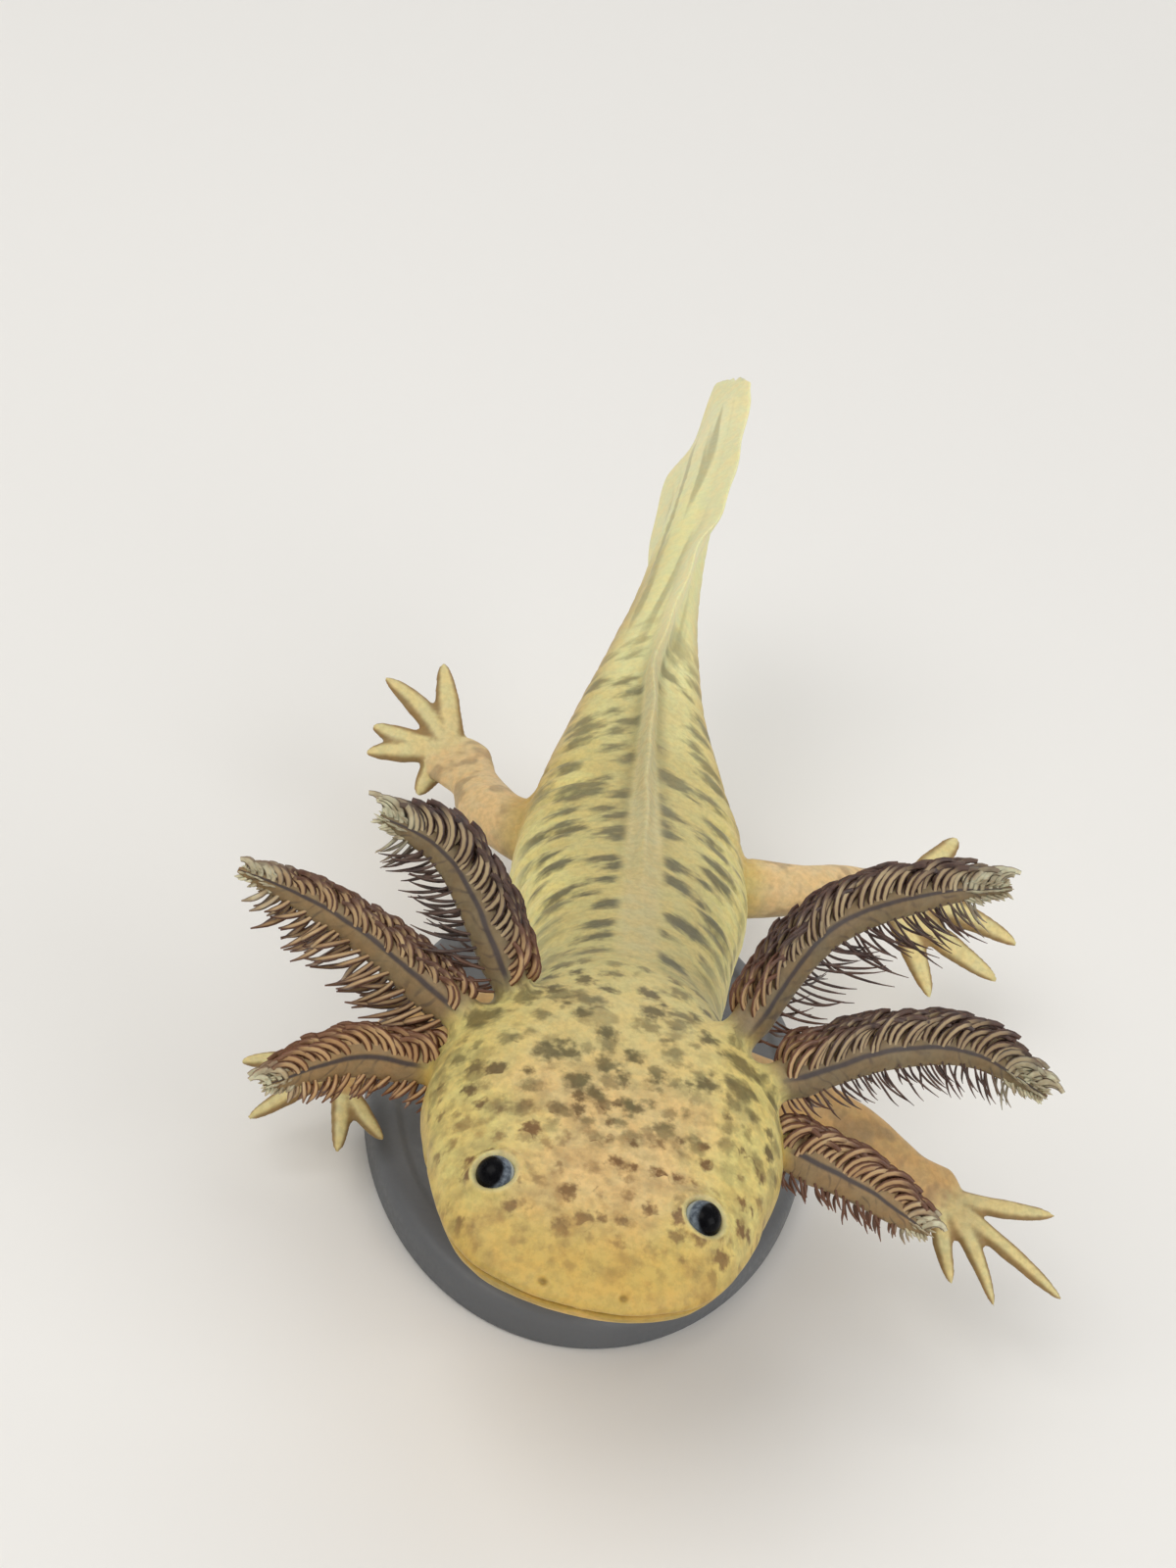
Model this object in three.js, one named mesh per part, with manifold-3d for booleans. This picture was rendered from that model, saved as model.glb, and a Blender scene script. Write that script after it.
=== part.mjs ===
// A life-size axolotl swimming just above its display stand.
// Millimetres, +Z up, head towards -Y, the animal's left side towards +X.
// The origin is the middle of the stand's underside.
import * as THREE from 'three';
import { mergeVertices } from 'three/addons/utils/BufferGeometryUtils.js';
import Module from 'manifold-3d';

const wasm = await Module();
wasm.setup();

// Driving dimensions
const headWidth = 28.8;
const headLength = 28;
const bodyLength = 148;
const headPitch = THREE.MathUtils.degToRad(5.9);
const headYaw = THREE.MathUtils.degToRad(1.2);
const gap = 0.3;
const bladeThickness = 0.6;
const tailLean = THREE.MathUtils.degToRad(40);
const eyeRadius = 1.5;
const mouthHeight = -3.6;
const mouthCorner = 12;
const standLength = 64;
const standWidth = 42;
const standThickness = 3.6;
const rodRadius = 1.5;

const neckPoint = new THREE.Vector3(0, -25, 26);

// Centre line from the snout to the tail tip
const spine = new THREE.CatmullRomCurve3([
  new THREE.Vector3(0, -52.9, 28.9),
  neckPoint,
  new THREE.Vector3(-0.2, -4.5, 21.7),
  new THREE.Vector3(-1.3, 16.3, 18.9),
  new THREE.Vector3(-2.7, 38.5, 20.7),
  new THREE.Vector3(-2.3, 65.4, 28.3),
  new THREE.Vector3(-0.2, 91.7, 37.6),
]);

// Colours of flesh, gills, eyes and stand
const skinColour = 0xb5a558;
const bellyColour = 0xb08f35;
const limbColour = 0xcf9f5c;
const finColour = 0xc9bd7c;
const gillColour = 0x6e4a3c;
const eyeColour = 0x0b0d14;
const standColour = 0x3c4046;
const rodColour = 0xb9bec4;

// Helpers

// A smooth value between stations, each { at, ...values }, without overshoot
function between(stations, at, key) {
  const last = stations.length - 1;
  const slope = (i) => {
    return (stations[i + 1][key] - stations[i][key]) / (stations[i + 1].at - stations[i].at);
  };
  const tangent = (i) => {
    if (i === 0) return slope(0);
    if (i === last) return slope(last - 1);
    const before = slope(i - 1);
    const after = slope(i);
    return before * after <= 0 ? 0 : (2 * before * after) / (before + after);
  };
  const x = THREE.MathUtils.clamp(at, stations[0].at, stations[last].at);
  let i = 0;
  while (i < last - 1 && x > stations[i + 1].at) i += 1;
  const width = stations[i + 1].at - stations[i].at;
  const t = (x - stations[i].at) / width;
  const from = stations[i][key] * (1 + 2 * t) * (1 - t) ** 2;
  const to = stations[i + 1][key] * t * t * (3 - 2 * t);
  return from + to + width * (tangent(i) * t * (1 - t) ** 2 - tangent(i + 1) * t * t * (1 - t));
}

// Evenly spaced numbers from a to b, both included
function steps(a, b, count) {
  return Array.from({ length: count + 1 }, (_, i) => a + ((b - a) * i) / count);
}

// Angles that divide a full turn into equal steps
function turns(count) {
  return steps(0, 2 * Math.PI, count).slice(0, count);
}

// A closed body through rings of equal point counts, with a fan over each end
function loft(rings) {
  const size = rings[0].length;
  const points = rings.flat();
  const index = [];
  const quad = (a, b, c, d) => index.push(a, b, c, a, c, d);
  for (let r = 0; r < rings.length - 1; r += 1) {
    for (let k = 0; k < size; k += 1) {
      const next = (k + 1) % size;
      quad(r * size + k, r * size + next, (r + 1) * size + next, (r + 1) * size + k);
    }
  }
  const cap = (ring, start, flip) => {
    const middle = ring.reduce((sum, p) => sum.add(p), new THREE.Vector3()).divideScalar(size);
    const centre = points.push(middle) - 1;
    for (let k = 0; k < size; k += 1) {
      const a = start + k;
      const b = start + ((k + 1) % size);
      if (flip) index.push(centre, b, a);
      else index.push(centre, a, b);
    }
  };
  cap(rings[0], 0, true);
  cap(rings[rings.length - 1], (rings.length - 1) * size, false);
  const geometry = new THREE.BufferGeometry().setFromPoints(points);
  geometry.setIndex(index);
  return signedVolume(geometry) < 0 ? flipped(geometry) : geometry;
}

function signedVolume(geometry) {
  const place = geometry.getAttribute('position');
  const index = geometry.getIndex();
  const [a, b, c] = [new THREE.Vector3(), new THREE.Vector3(), new THREE.Vector3()];
  let sum = 0;
  for (let i = 0; i < index.count; i += 3) {
    a.fromBufferAttribute(place, index.getX(i));
    b.fromBufferAttribute(place, index.getX(i + 1));
    c.fromBufferAttribute(place, index.getX(i + 2));
    sum += a.dot(b.cross(c)) / 6;
  }
  return sum;
}

function flipped(geometry) {
  geometry.setIndex(Array.from(geometry.getIndex().array).reverse());
  return geometry;
}

// From a three.js geometry to a solid that can be joined and cut, and back
function solid(geometry) {
  const bare = geometry.clone();
  bare.deleteAttribute('normal');
  bare.deleteAttribute('uv');
  const merged = mergeVertices(bare, 1e-4);
  return new wasm.Manifold(new wasm.Mesh({
    numProp: 3,
    vertProperties: new Float32Array(merged.getAttribute('position').array),
    triVerts: new Uint32Array(merged.getIndex().array),
  }));
}

function geometryOf(body) {
  const mesh = body.getMesh();
  const geometry = new THREE.BufferGeometry();
  geometry.setAttribute('position', new THREE.BufferAttribute(new Float32Array(mesh.vertProperties), 3));
  geometry.setIndex(Array.from(mesh.triVerts));
  return geometry;
}

// The largest closed body of a cut, without the crumbs beside it
function mainBody(body) {
  return body.decompose().sort((a, b) => b.volume() - a.volume())[0];
}

function named(name, geometry, color, roughness = 0.45, metalness = 0) {
  geometry.computeVertexNormals();
  const mesh = new THREE.Mesh(geometry, new THREE.MeshStandardMaterial({ color, roughness, metalness }));
  mesh.name = name;
  return mesh;
}

const power = (value, exponent) => Math.sign(value) * Math.abs(value) ** exponent;

// Neck, trunk and tail

// Half width, height over and depth under the centre line, by distance from the snout
const bodyStations = [
  { at: 28, half: 10.0, up: 6.9, down: 6.9 },
  { at: 36, half: 8.7, up: 6.3, down: 6.8 },
  { at: 49, half: 9.8, up: 6.7, down: 7.3 },
  { at: 61, half: 11.3, up: 6.9, down: 7.8 },
  { at: 70, half: 11.0, up: 6.6, down: 7.2 },
  { at: 80, half: 9.2, up: 5.9, down: 6.0 },
  { at: 92, half: 6.6, up: 5.2, down: 4.9 },
  { at: 109, half: 3.7, up: 4.3, down: 4.1 },
  { at: 126, half: 2.0, up: 3.0, down: 2.9 },
  { at: 140, half: 1.1, up: 1.8, down: 1.7 },
  { at: 146, half: 0.5, up: 0.7, down: 0.7 },
];

const spineLength = spine.getLength();

// The centre line's place and its side and up directions; the tail leans to the left
function bodyFrame(distance) {
  const u = THREE.MathUtils.clamp(distance / spineLength, 0, 1);
  const place = spine.getPointAt(u);
  const along = spine.getTangentAt(u);
  const side = along.clone().cross(new THREE.Vector3(0, 0, 1)).normalize();
  const lean = tailLean * THREE.MathUtils.smoothstep(distance, 92, 138);
  side.applyAxisAngle(along, lean);
  const up = side.clone().cross(along);
  return { place, along, side, up };
}

function bodyPoint(distance, side, up) {
  const frame = bodyFrame(distance);
  return frame.place.clone().addScaledVector(frame.side, side).addScaledVector(frame.up, up);
}

function bodyRing(distance, margin, segments = 20) {
  const half = between(bodyStations, distance, 'half') + margin;
  const up = between(bodyStations, distance, 'up') + margin;
  const down = between(bodyStations, distance, 'down') + margin;
  return turns(segments).map((angle) => {
    const x = half * power(Math.cos(angle), 0.92);
    const z = (Math.sin(angle) > 0 ? up : down) * power(Math.sin(angle), 0.92);
    return bodyPoint(distance, x, z);
  });
}

function bodyLoft(from, to, count, margin = 0) {
  return loft(steps(from, to, count).map((distance) => bodyRing(distance, margin)));
}

const grownBody = solid(bodyLoft(29, 146, 40, gap));

const bodyParts = [
  { name: 'neck', from: 28.4, to: 38, count: 4 },
  { name: 'trunk_front', from: 38, to: 56, count: 6 },
  { name: 'trunk_rear', from: 56, to: 79, count: 7 },
  { name: 'tail_root', from: 79, to: 98, count: 5 },
  { name: 'tail_middle', from: 98, to: 122, count: 5 },
  { name: 'tail_tip', from: 122, to: 146, count: 5 },
];

function buildBody() {
  return bodyParts.map(({ name, from, to, count }) => {
    return named(name, bodyLoft(from + gap / 2, to - gap / 2, count), skinColour);
  });
}

// Fins

// Height of the thin fin over the flesh, by distance from the snout
const upperFin = [
  { at: 46, height: 0.4 },
  { at: 60, height: 1.0 },
  { at: 78, height: 1.9 },
  { at: 96, height: 3.0 },
  { at: 115, height: 3.9 },
  { at: 130, height: 3.7 },
  { at: 140, height: 2.6 },
  { at: bodyLength, height: 1.9 },
];
const lowerFin = [
  { at: 84, height: 0.4 },
  { at: 96, height: 1.6 },
  { at: 112, height: 3.2 },
  { at: 128, height: 4.2 },
  { at: 134, height: 3.6 },
  { at: 139, height: 2.1 },
  { at: bodyLength, height: 1.9 },
];

// A blade from the centre line out past the flesh, before the flesh is cut from it
function finBlade(stations, side, from, to, count) {
  const key = side > 0 ? 'up' : 'down';
  const rings = steps(from, to, count).map((distance) => {
    const edge = between(bodyStations, distance, key) + between(stations, distance, 'height');
    const root = bladeThickness * 0.75;
    const rim = bladeThickness / 2;
    return [
      bodyPoint(distance, root, side * gap / 2),
      bodyPoint(distance, root, side * edge * 0.6),
      bodyPoint(distance, rim, side * edge),
      bodyPoint(distance, -rim, side * edge),
      bodyPoint(distance, -root, side * edge * 0.6),
      bodyPoint(distance, -root, side * gap / 2),
    ];
  });
  return loft(rings);
}

function buildFins() {
  const blade = (name, stations, side, from, to, count) => {
    const cut = solid(finBlade(stations, side, from, to, count)).subtract(grownBody);
    return named(name, geometryOf(mainBody(cut)), finColour);
  };
  return [
    blade('fin_back', upperFin, 1, 46, 92 - gap / 2, 8),
    blade('fin_tail_upper', upperFin, 1, 92 + gap / 2, bodyLength, 11),
    blade('fin_tail_lower', lowerFin, -1, 84, bodyLength, 13),
  ];
}

// Head

// Head half width and its top and bottom heights, by distance from the snout,
// in the head's own frame with the neck joint as its origin
const headStations = [
  { at: 0, half: 0.2, top: -3.3, bottom: -3.8 },
  { at: 0.3, half: 3.2, top: -2.7, bottom: -4.5 },
  { at: 1.2, half: 5.8, top: -1.9, bottom: -5.2 },
  { at: 2.6, half: 8.4, top: -1.0, bottom: -5.8 },
  { at: 5, half: 10.4, top: 0.3, bottom: -6.4 },
  { at: 9, half: 12.1, top: 1.9, bottom: -6.9 },
  { at: 13, half: 13.3, top: 3.4, bottom: -7.2 },
  { at: 19, half: headWidth / 2, top: 5.5, bottom: -7.5 },
  { at: 23.5, half: 14.2, top: 6.6, bottom: -7.4 },
  { at: 26.5, half: 12.2, top: 7.0, bottom: -7.1 },
  { at: headLength, half: 10.2, top: 7.0, bottom: -6.9 },
];

function headRing(distance, margin, segments = 22) {
  const half = between(headStations, distance, 'half') + margin;
  const top = between(headStations, distance, 'top') + margin;
  const bottom = between(headStations, distance, 'bottom') - margin;
  const middle = THREE.MathUtils.lerp(-3.5, -1.0, distance / headLength);
  return turns(segments).map((angle) => {
    const sine = Math.sin(angle);
    const x = half * power(Math.cos(angle), 0.8);
    const z = middle + (sine > 0 ? top - middle : middle - bottom) * power(sine, 0.84);
    return new THREE.Vector3(x, distance - headLength, z);
  });
}

function headSolid(margin) {
  const places = [0, 0.3, 1.0, 2.2, 4, 6.5, 9.5, 13, 17, 20.5, 23, 25, 26.7, headLength];
  return solid(loft(places.map((distance) => headRing(distance, margin))));
}

// A block under the mouth line and in front of the jaw joint, widened by a margin
function jawRegion(margin) {
  const front = -headLength - 3;
  const corner = mouthCorner - headLength;
  const outline = new THREE.Shape();
  outline.moveTo(front, -12);
  outline.lineTo(front, mouthHeight + margin);
  outline.lineTo(corner, mouthHeight + 0.7 + margin);
  outline.lineTo(corner + 1.5 + margin, mouthHeight - 0.4 + margin);
  outline.lineTo(corner + 5 + margin, -12);
  return acrossHead(outline);
}

// A block under the throat, from the jaw back to the neck
function throatRegion(margin) {
  const outline = new THREE.Shape();
  outline.moveTo(mouthCorner - headLength + 5 - margin, -12);
  outline.lineTo(mouthCorner - headLength + 3.2 - margin, -5.2 + margin);
  outline.lineTo(2, -4.6 + margin);
  outline.lineTo(2, -12);
  return acrossHead(outline);
}

// An outline in the head's length and height, extruded right across the head
function acrossHead(outline) {
  const block = new THREE.ExtrudeGeometry(outline, { depth: 2 * headWidth, bevelEnabled: false });
  block.applyMatrix4(new THREE.Matrix4().makeBasis(
    new THREE.Vector3(0, 1, 0),
    new THREE.Vector3(0, 0, 1),
    new THREE.Vector3(1, 0, 0),
  ));
  block.translate(-headWidth, 0, 0);
  return solid(block);
}

const eyePlace = { side: 7.8, along: 8 - headLength, height: 0.75 };

function eyeBall(radius) {
  return new THREE.SphereGeometry(radius, 16, 8);
}

function buildHead() {
  const whole = headSolid(0);
  const inset = headSolid(-0.35);
  let skull = whole.subtract(jawRegion(gap)).subtract(throatRegion(gap));
  const eyes = [['eye_left', 1], ['eye_right', -1]].map(([name, side]) => {
    const centre = [side * eyePlace.side, eyePlace.along, eyePlace.height];
    const socket = solid(eyeBall(eyeRadius + gap).translate(...centre));
    skull = skull.subtract(socket);
    const eye = named(name, eyeBall(eyeRadius), eyeColour, 0.08);
    eye.position.set(...centre);
    return eye;
  });
  const jaw = inset.intersect(jawRegion(0));
  const throat = whole.intersect(throatRegion(0)).subtract(jawRegion(gap));
  return [
    named('head', geometryOf(mainBody(skull)), skinColour),
    named('lower_jaw', geometryOf(mainBody(jaw)), bellyColour),
    named('throat', geometryOf(mainBody(throat)), bellyColour),
    ...eyes,
  ];
}

// Gills

const gillRoot = 1.45;
const gillTip = 0.3;
const combUp = 2.5;
const combDown = 3.2;

// Points that each gill's stalk passes through, in the head's frame
const gillPaths = {
  gill_left_upper: [[8.4, -1.6, 4.0], [15.5, 8.1, 12.1], [23.0, 11.2, 15.2], [29.6, 13.3, 16.3]],
  gill_left_middle: [[11, -3.6, 2.2], [22.3, 3.8, 4.3], [29.5, 5.9, 4.2], [35.9, 4.6, 2.5]],
  gill_left_lower: [[11.6, -5.2, -1.0], [20.5, -4, -3.9], [28.1, -3.9, -7.4]],
  gill_right_upper: [[-8.4, -1.6, 4.0], [-13.6, 3.1, 9.8], [-17.3, 5.1, 12.6], [-22.7, 6.2, 13.9]],
  gill_right_middle: [[-11, -3.6, 2.2], [-20.5, 1.6, 4.8], [-27, 3.9, 6.2], [-33, 4, 7.5]],
  gill_right_lower: [[-11.6, -5.2, -1.0], [-20, -4.3, -2.2], [-26.9, -7.7, -4.5]],
};

// One ring of a gill: a round stalk with a thin comb above and another below;
// every other ring is shorter, so that the combs have a toothed edge
function gillRing(path, t, isTooth) {
  const place = path.getPointAt(t);
  const along = path.getTangentAt(t);
  const rise = new THREE.Vector3(0, 0.5, 0.87);
  rise.addScaledVector(along, -rise.dot(along)).normalize();
  const across = along.clone().cross(rise);
  const radius = THREE.MathUtils.lerp(gillRoot, gillTip, t ** 0.8);
  const taper = 1 - 0.7 * THREE.MathUtils.smoothstep(t, 0.6, 1);
  const fullness = THREE.MathUtils.smoothstep(t, 0.1, 0.35) * taper;
  const upper = combUp * fullness * (isTooth ? 1 : 0.6);
  const lower = combDown * fullness * (isTooth ? 1 : 0.4);
  const rim = bladeThickness / 2;
  const point = (out, sideways, forward) => {
    const p = place.clone().addScaledVector(rise, out).addScaledVector(across, sideways);
    return p.addScaledVector(along, forward);
  };
  return [
    point(radius + upper, rim, upper * 0.5),
    point(radius * 0.55, radius * 0.85, 0),
    point(-radius * 0.55, radius * 0.85, 0),
    point(-radius - lower, rim, lower * 0.5),
    point(-radius - lower, -rim, lower * 0.5),
    point(-radius * 0.55, -radius * 0.85, 0),
    point(radius * 0.55, -radius * 0.85, 0),
    point(radius + upper, -rim, upper * 0.5),
  ];
}

function buildGills(grownHead) {
  return Object.entries(gillPaths).map(([name, points]) => {
    const path = new THREE.CatmullRomCurve3(points.map((p) => new THREE.Vector3(...p)));
    const count = Math.round(path.getLength() / 1.3);
    const rings = steps(0, 1, count).map((t, i) => gillRing(path, t, i % 2 === 0));
    const gill = solid(loft(rings)).subtract(grownHead);
    return named(name, geometryOf(mainBody(gill)), gillColour, 0.6);
  });
}

// Legs

// Root, middle joint, wrist or ankle and end of the palm of each leg; widths along it;
// and the fan of its digits, each an angle in the palm's plane from +X and a length
const limbs = {
  arm_left: {
    points: [[5.5, -17.0, 18.6], [20.5, -14.6, 16.4], [30.0, -16.9, 13.2], [34.2, -18.4, 11.6]],
    palm: [33.0, -17.6, 12.0],
    tilt: 25,
    digits: [[14, 8.4], [-30, 10.4], [-64, 8.6], [-92, 5.6]],
    names: ['upper_arm_left', 'forearm_left', 'hand_left'],
  },
  arm_right: {
    points: [[-5.5, -17.0, 18.6], [-15.2, -12.2, 15.4], [-20.8, -13.1, 10.2], [-24.0, -13.6, 7.9]],
    palm: [-22.9, -13.3, 8.4],
    tilt: 25,
    digits: [[-174, 8.4], [-137, 8.7], [-76, 7.4], [-40, 6.9]],
    names: ['upper_arm_right', 'forearm_right', 'hand_right'],
  },
  leg_left: {
    points: [[6, 15.4, 17.4], [16.4, 18.6, 18.0], [22.8, 23.4, 14.8], [26.6, 25.6, 13.0]],
    palm: [25.6, 25.0, 13.4],
    tilt: 30,
    digits: [[56, 9.6], [20, 11.4], [-3, 11.8], [-26, 11.2], [-58, 8.6]],
    names: ['thigh_left', 'shank_left', 'foot_left'],
  },
  leg_right: {
    points: [[-6, 15.4, 17.4], [-15.0, 21.2, 16.2], [-19.0, 28.4, 14.6], [-23.4, 35.0, 14.0]],
    palm: [-22.6, 33.9, 14.0],
    tilt: 30,
    digits: [[-86, 5.8], [-160, 7.4], [174, 8.2], [138, 9.8], [100, 9.4]],
    names: ['thigh_right', 'shank_right', 'foot_right'],
  },
};

const limbStations = [
  { at: 0, width: 3.3, depth: 3.1 },
  { at: 1, width: 2.4, depth: 2.2 },
  { at: 2, width: 1.75, depth: 1.45 },
  { at: 2.6, width: 2.7, depth: 1.25 },
  { at: 3, width: 1.9, depth: 0.9 },
];

// A ring of the limb at a joint number: 0 root, 1 middle joint, 2 wrist, 3 palm's end
function limbRing(path, normal, joint, segments = 9) {
  const place = path.getPoint(joint / 3);
  const along = path.getTangent(joint / 3);
  const up = normal.clone().addScaledVector(along, -normal.dot(along)).normalize();
  const side = along.clone().cross(up);
  const width = between(limbStations, joint, 'width');
  const depth = between(limbStations, joint, 'depth');
  return turns(segments).map((angle) => {
    const p = place.clone().addScaledVector(side, width * Math.cos(angle));
    return p.addScaledVector(up, depth * Math.sin(angle));
  });
}

// One tapering digit in the palm's plane, with a slight downward curl
function digit(palm, inPlane, normal, degrees, length) {
  const angle = THREE.MathUtils.degToRad(degrees);
  const along = inPlane(angle);
  const side = along.clone().cross(normal);
  const rings = [0.1, 0.45, 0.8, 1].map((t) => {
    const place = palm.clone().addScaledVector(along, length * t);
    place.addScaledVector(normal, 0.3 * t * (1 - t) * length * 0.4 - 0.06 * t * t * length);
    const radius = THREE.MathUtils.lerp(1.15, 0.42, t);
    return turns(6).map((turn) => {
      const p = place.clone().addScaledVector(side, radius * Math.cos(turn));
      return p.addScaledVector(normal, radius * 0.8 * Math.sin(turn));
    });
  });
  return solid(loft(rings));
}

function buildLimb({ points, palm, tilt, digits, names }) {
  const path = new THREE.CatmullRomCurve3(points.map((p) => new THREE.Vector3(...p)));
  const lean = THREE.MathUtils.degToRad(tilt);
  const normal = new THREE.Vector3(0, -Math.sin(lean), Math.cos(lean));
  const inPlane = (angle) => {
    const forward = new THREE.Vector3(0, Math.cos(lean), Math.sin(lean)).multiplyScalar(Math.sin(angle));
    return forward.addScaledVector(new THREE.Vector3(1, 0, 0), Math.cos(angle));
  };
  const stretch = (from, to, count) => {
    return solid(loft(steps(from, to, count).map((joint) => limbRing(path, normal, joint))));
  };
  const half = 0.015;
  const upper = stretch(0, 1 - half, 4).subtract(grownBody);
  const lower = stretch(1 + half, 2 - half, 4);
  const palmSolid = stretch(2 + half * 2, 3, 4);
  const palmPlace = new THREE.Vector3(...palm);
  const hand = digits.reduce((sum, [degrees, length]) => {
    return sum.add(digit(palmPlace, inPlane, normal, degrees, length));
  }, palmSolid);
  return [upper, lower, hand].map((body, i) => named(names[i], geometryOf(mainBody(body)), limbColour));
}

// Stand

const rodPlaces = [{ name: 'stand_rod_front', at: 45 }, { name: 'stand_rod_rear', at: 71 }];

function buildStand() {
  const oval = new THREE.Shape();
  oval.absellipse(0, 0, standWidth / 2 - 1, standLength / 2 - 1, 0, 2 * Math.PI);
  const plate = new THREE.ExtrudeGeometry(oval, {
    depth: standThickness - 1.2,
    bevelThickness: 0.6,
    bevelSize: 1,
    bevelSegments: 2,
    curveSegments: 16,
  });
  plate.translate(0, 0, 0.6);
  const rods = rodPlaces.map(({ name, at }) => {
    const { place } = bodyFrame(at);
    const height = place.z - standThickness - gap;
    const rod = new THREE.CylinderGeometry(rodRadius, rodRadius, height, 16);
    rod.rotateX(Math.PI / 2);
    rod.translate(place.x, place.y, standThickness + gap + height / 2);
    const cut = solid(rod).subtract(grownBody);
    return named(name, geometryOf(mainBody(cut)), rodColour, 0.25, 1);
  });
  return [named('stand_base', plate, standColour, 0.35), ...rods];
}

// The whole animal

const headGroup = new THREE.Group();
headGroup.position.copy(neckPoint);
headGroup.rotation.set(-headPitch, 0, headYaw);
headGroup.add(...buildHead());
headGroup.add(...buildGills(headSolid(gap)));

const group = new THREE.Group();
group.add(headGroup);
group.add(...buildBody());
group.add(...buildFins());
Object.values(limbs).forEach((limb) => group.add(...buildLimb(limb)));
group.add(...buildStand());

export default group;
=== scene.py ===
# A still, life-size axolotl over a small oval stand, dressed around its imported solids
import math
import bmesh
import bpy
import numpy as np
from mathutils import Matrix, Vector, kdtree, noise


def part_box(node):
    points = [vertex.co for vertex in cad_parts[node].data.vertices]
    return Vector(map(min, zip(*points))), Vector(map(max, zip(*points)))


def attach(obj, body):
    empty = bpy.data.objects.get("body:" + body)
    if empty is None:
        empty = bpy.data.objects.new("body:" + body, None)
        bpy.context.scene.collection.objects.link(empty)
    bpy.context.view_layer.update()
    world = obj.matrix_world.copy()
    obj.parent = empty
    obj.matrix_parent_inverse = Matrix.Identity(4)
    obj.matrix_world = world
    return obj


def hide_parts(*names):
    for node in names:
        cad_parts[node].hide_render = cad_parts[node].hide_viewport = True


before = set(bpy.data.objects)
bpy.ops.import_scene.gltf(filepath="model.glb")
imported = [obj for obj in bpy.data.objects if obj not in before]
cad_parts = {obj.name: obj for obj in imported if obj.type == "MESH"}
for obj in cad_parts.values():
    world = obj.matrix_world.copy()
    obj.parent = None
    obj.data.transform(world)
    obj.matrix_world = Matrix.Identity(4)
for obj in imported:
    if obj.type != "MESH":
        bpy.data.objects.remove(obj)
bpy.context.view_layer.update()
mm = 0.001  # shapes are worked out in millimetres, head towards -Y, and made in metres
print("frame loaded:", len(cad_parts), "nodes")


# Camera

view = {
    "place": (-8.652, -181.688, 150.152),
    "elevation": 32.27,  # how far it looks down, in degrees
    "azimuth": -0.53,
    "roll": 13.32,
    "lens": 56.25,
    "sensor": 36.0,
}


def linked(name, data):
    made = bpy.data.objects.new(name, data)
    bpy.context.scene.collection.objects.link(made)
    return made


def makeCamera():
    elevation, azimuth, roll = (math.radians(view[key]) for key in ("elevation", "azimuth", "roll"))
    flat = math.cos(elevation)
    back = Vector((math.sin(azimuth) * flat, -math.cos(azimuth) * flat, math.sin(elevation)))
    level = Vector((math.cos(azimuth), math.sin(azimuth), 0))
    rise = back.cross(level)
    right = math.cos(roll) * level + math.sin(roll) * rise
    top = math.cos(roll) * rise - math.sin(roll) * level
    data = bpy.data.cameras.new("camera")
    data.lens = view["lens"]
    data.sensor_width = view["sensor"]
    data.clip_start = 0.005
    camera = linked("camera", data)
    camera.matrix_world = Matrix((right, top, back)).transposed().to_4x4()
    camera.location = Vector(view["place"]) * mm
    bpy.context.scene.camera = camera


makeCamera()
print("camera placed")

# Helpers

def smoothstep(x, low, high):
    t = np.clip((np.asarray(x, float) - low) / (high - low), 0, 1)
    return t * t * (3 - 2 * t)


# 1 between full and fall, down to 0 at start and end
def within(x, start, full, fall, end):
    return smoothstep(x, start, full) * (1 - smoothstep(x, fall, end))


def bell(x, middle, width):
    return np.exp(-((np.asarray(x, float) - middle) / width) ** 2)


def fullTurn(count):
    return np.linspace(0, 2 * np.pi, count, endpoint=False)


def unit(vectors):
    return vectors / np.linalg.norm(vectors, axis=-1, keepdims=True)


# Values between the rows of a table (place, value, value...), without overshoot
def between(table, at):
    rows = np.array(table, float)
    x, y = rows[:, 0], rows[:, 1:]
    slope = np.diff(y, axis=0) / np.diff(x)[:, None]
    before, after = slope[:-1], slope[1:]
    sameWay = before * after > 0
    inner = np.where(sameWay, 2 * before * after / np.where(sameWay, before + after, 1), 0)
    tangent = np.vstack([slope[:1], inner, slope[-1:]])
    at = np.clip(np.asarray(at, float), x[0], x[-1])
    i = np.clip(np.searchsorted(x, at) - 1, 0, len(x) - 2)
    width = (x[i + 1] - x[i])[..., None]
    t = (at - x[i])[..., None] / width
    ends = y[i] * (1 + 2 * t) * (1 - t) ** 2 + y[i + 1] * t * t * (3 - 2 * t)
    return ends + width * (tangent[i] * t * (1 - t) ** 2 - tangent[i + 1] * t * t * (1 - t))


perSpan = 120  # samples between two points of a line


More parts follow.
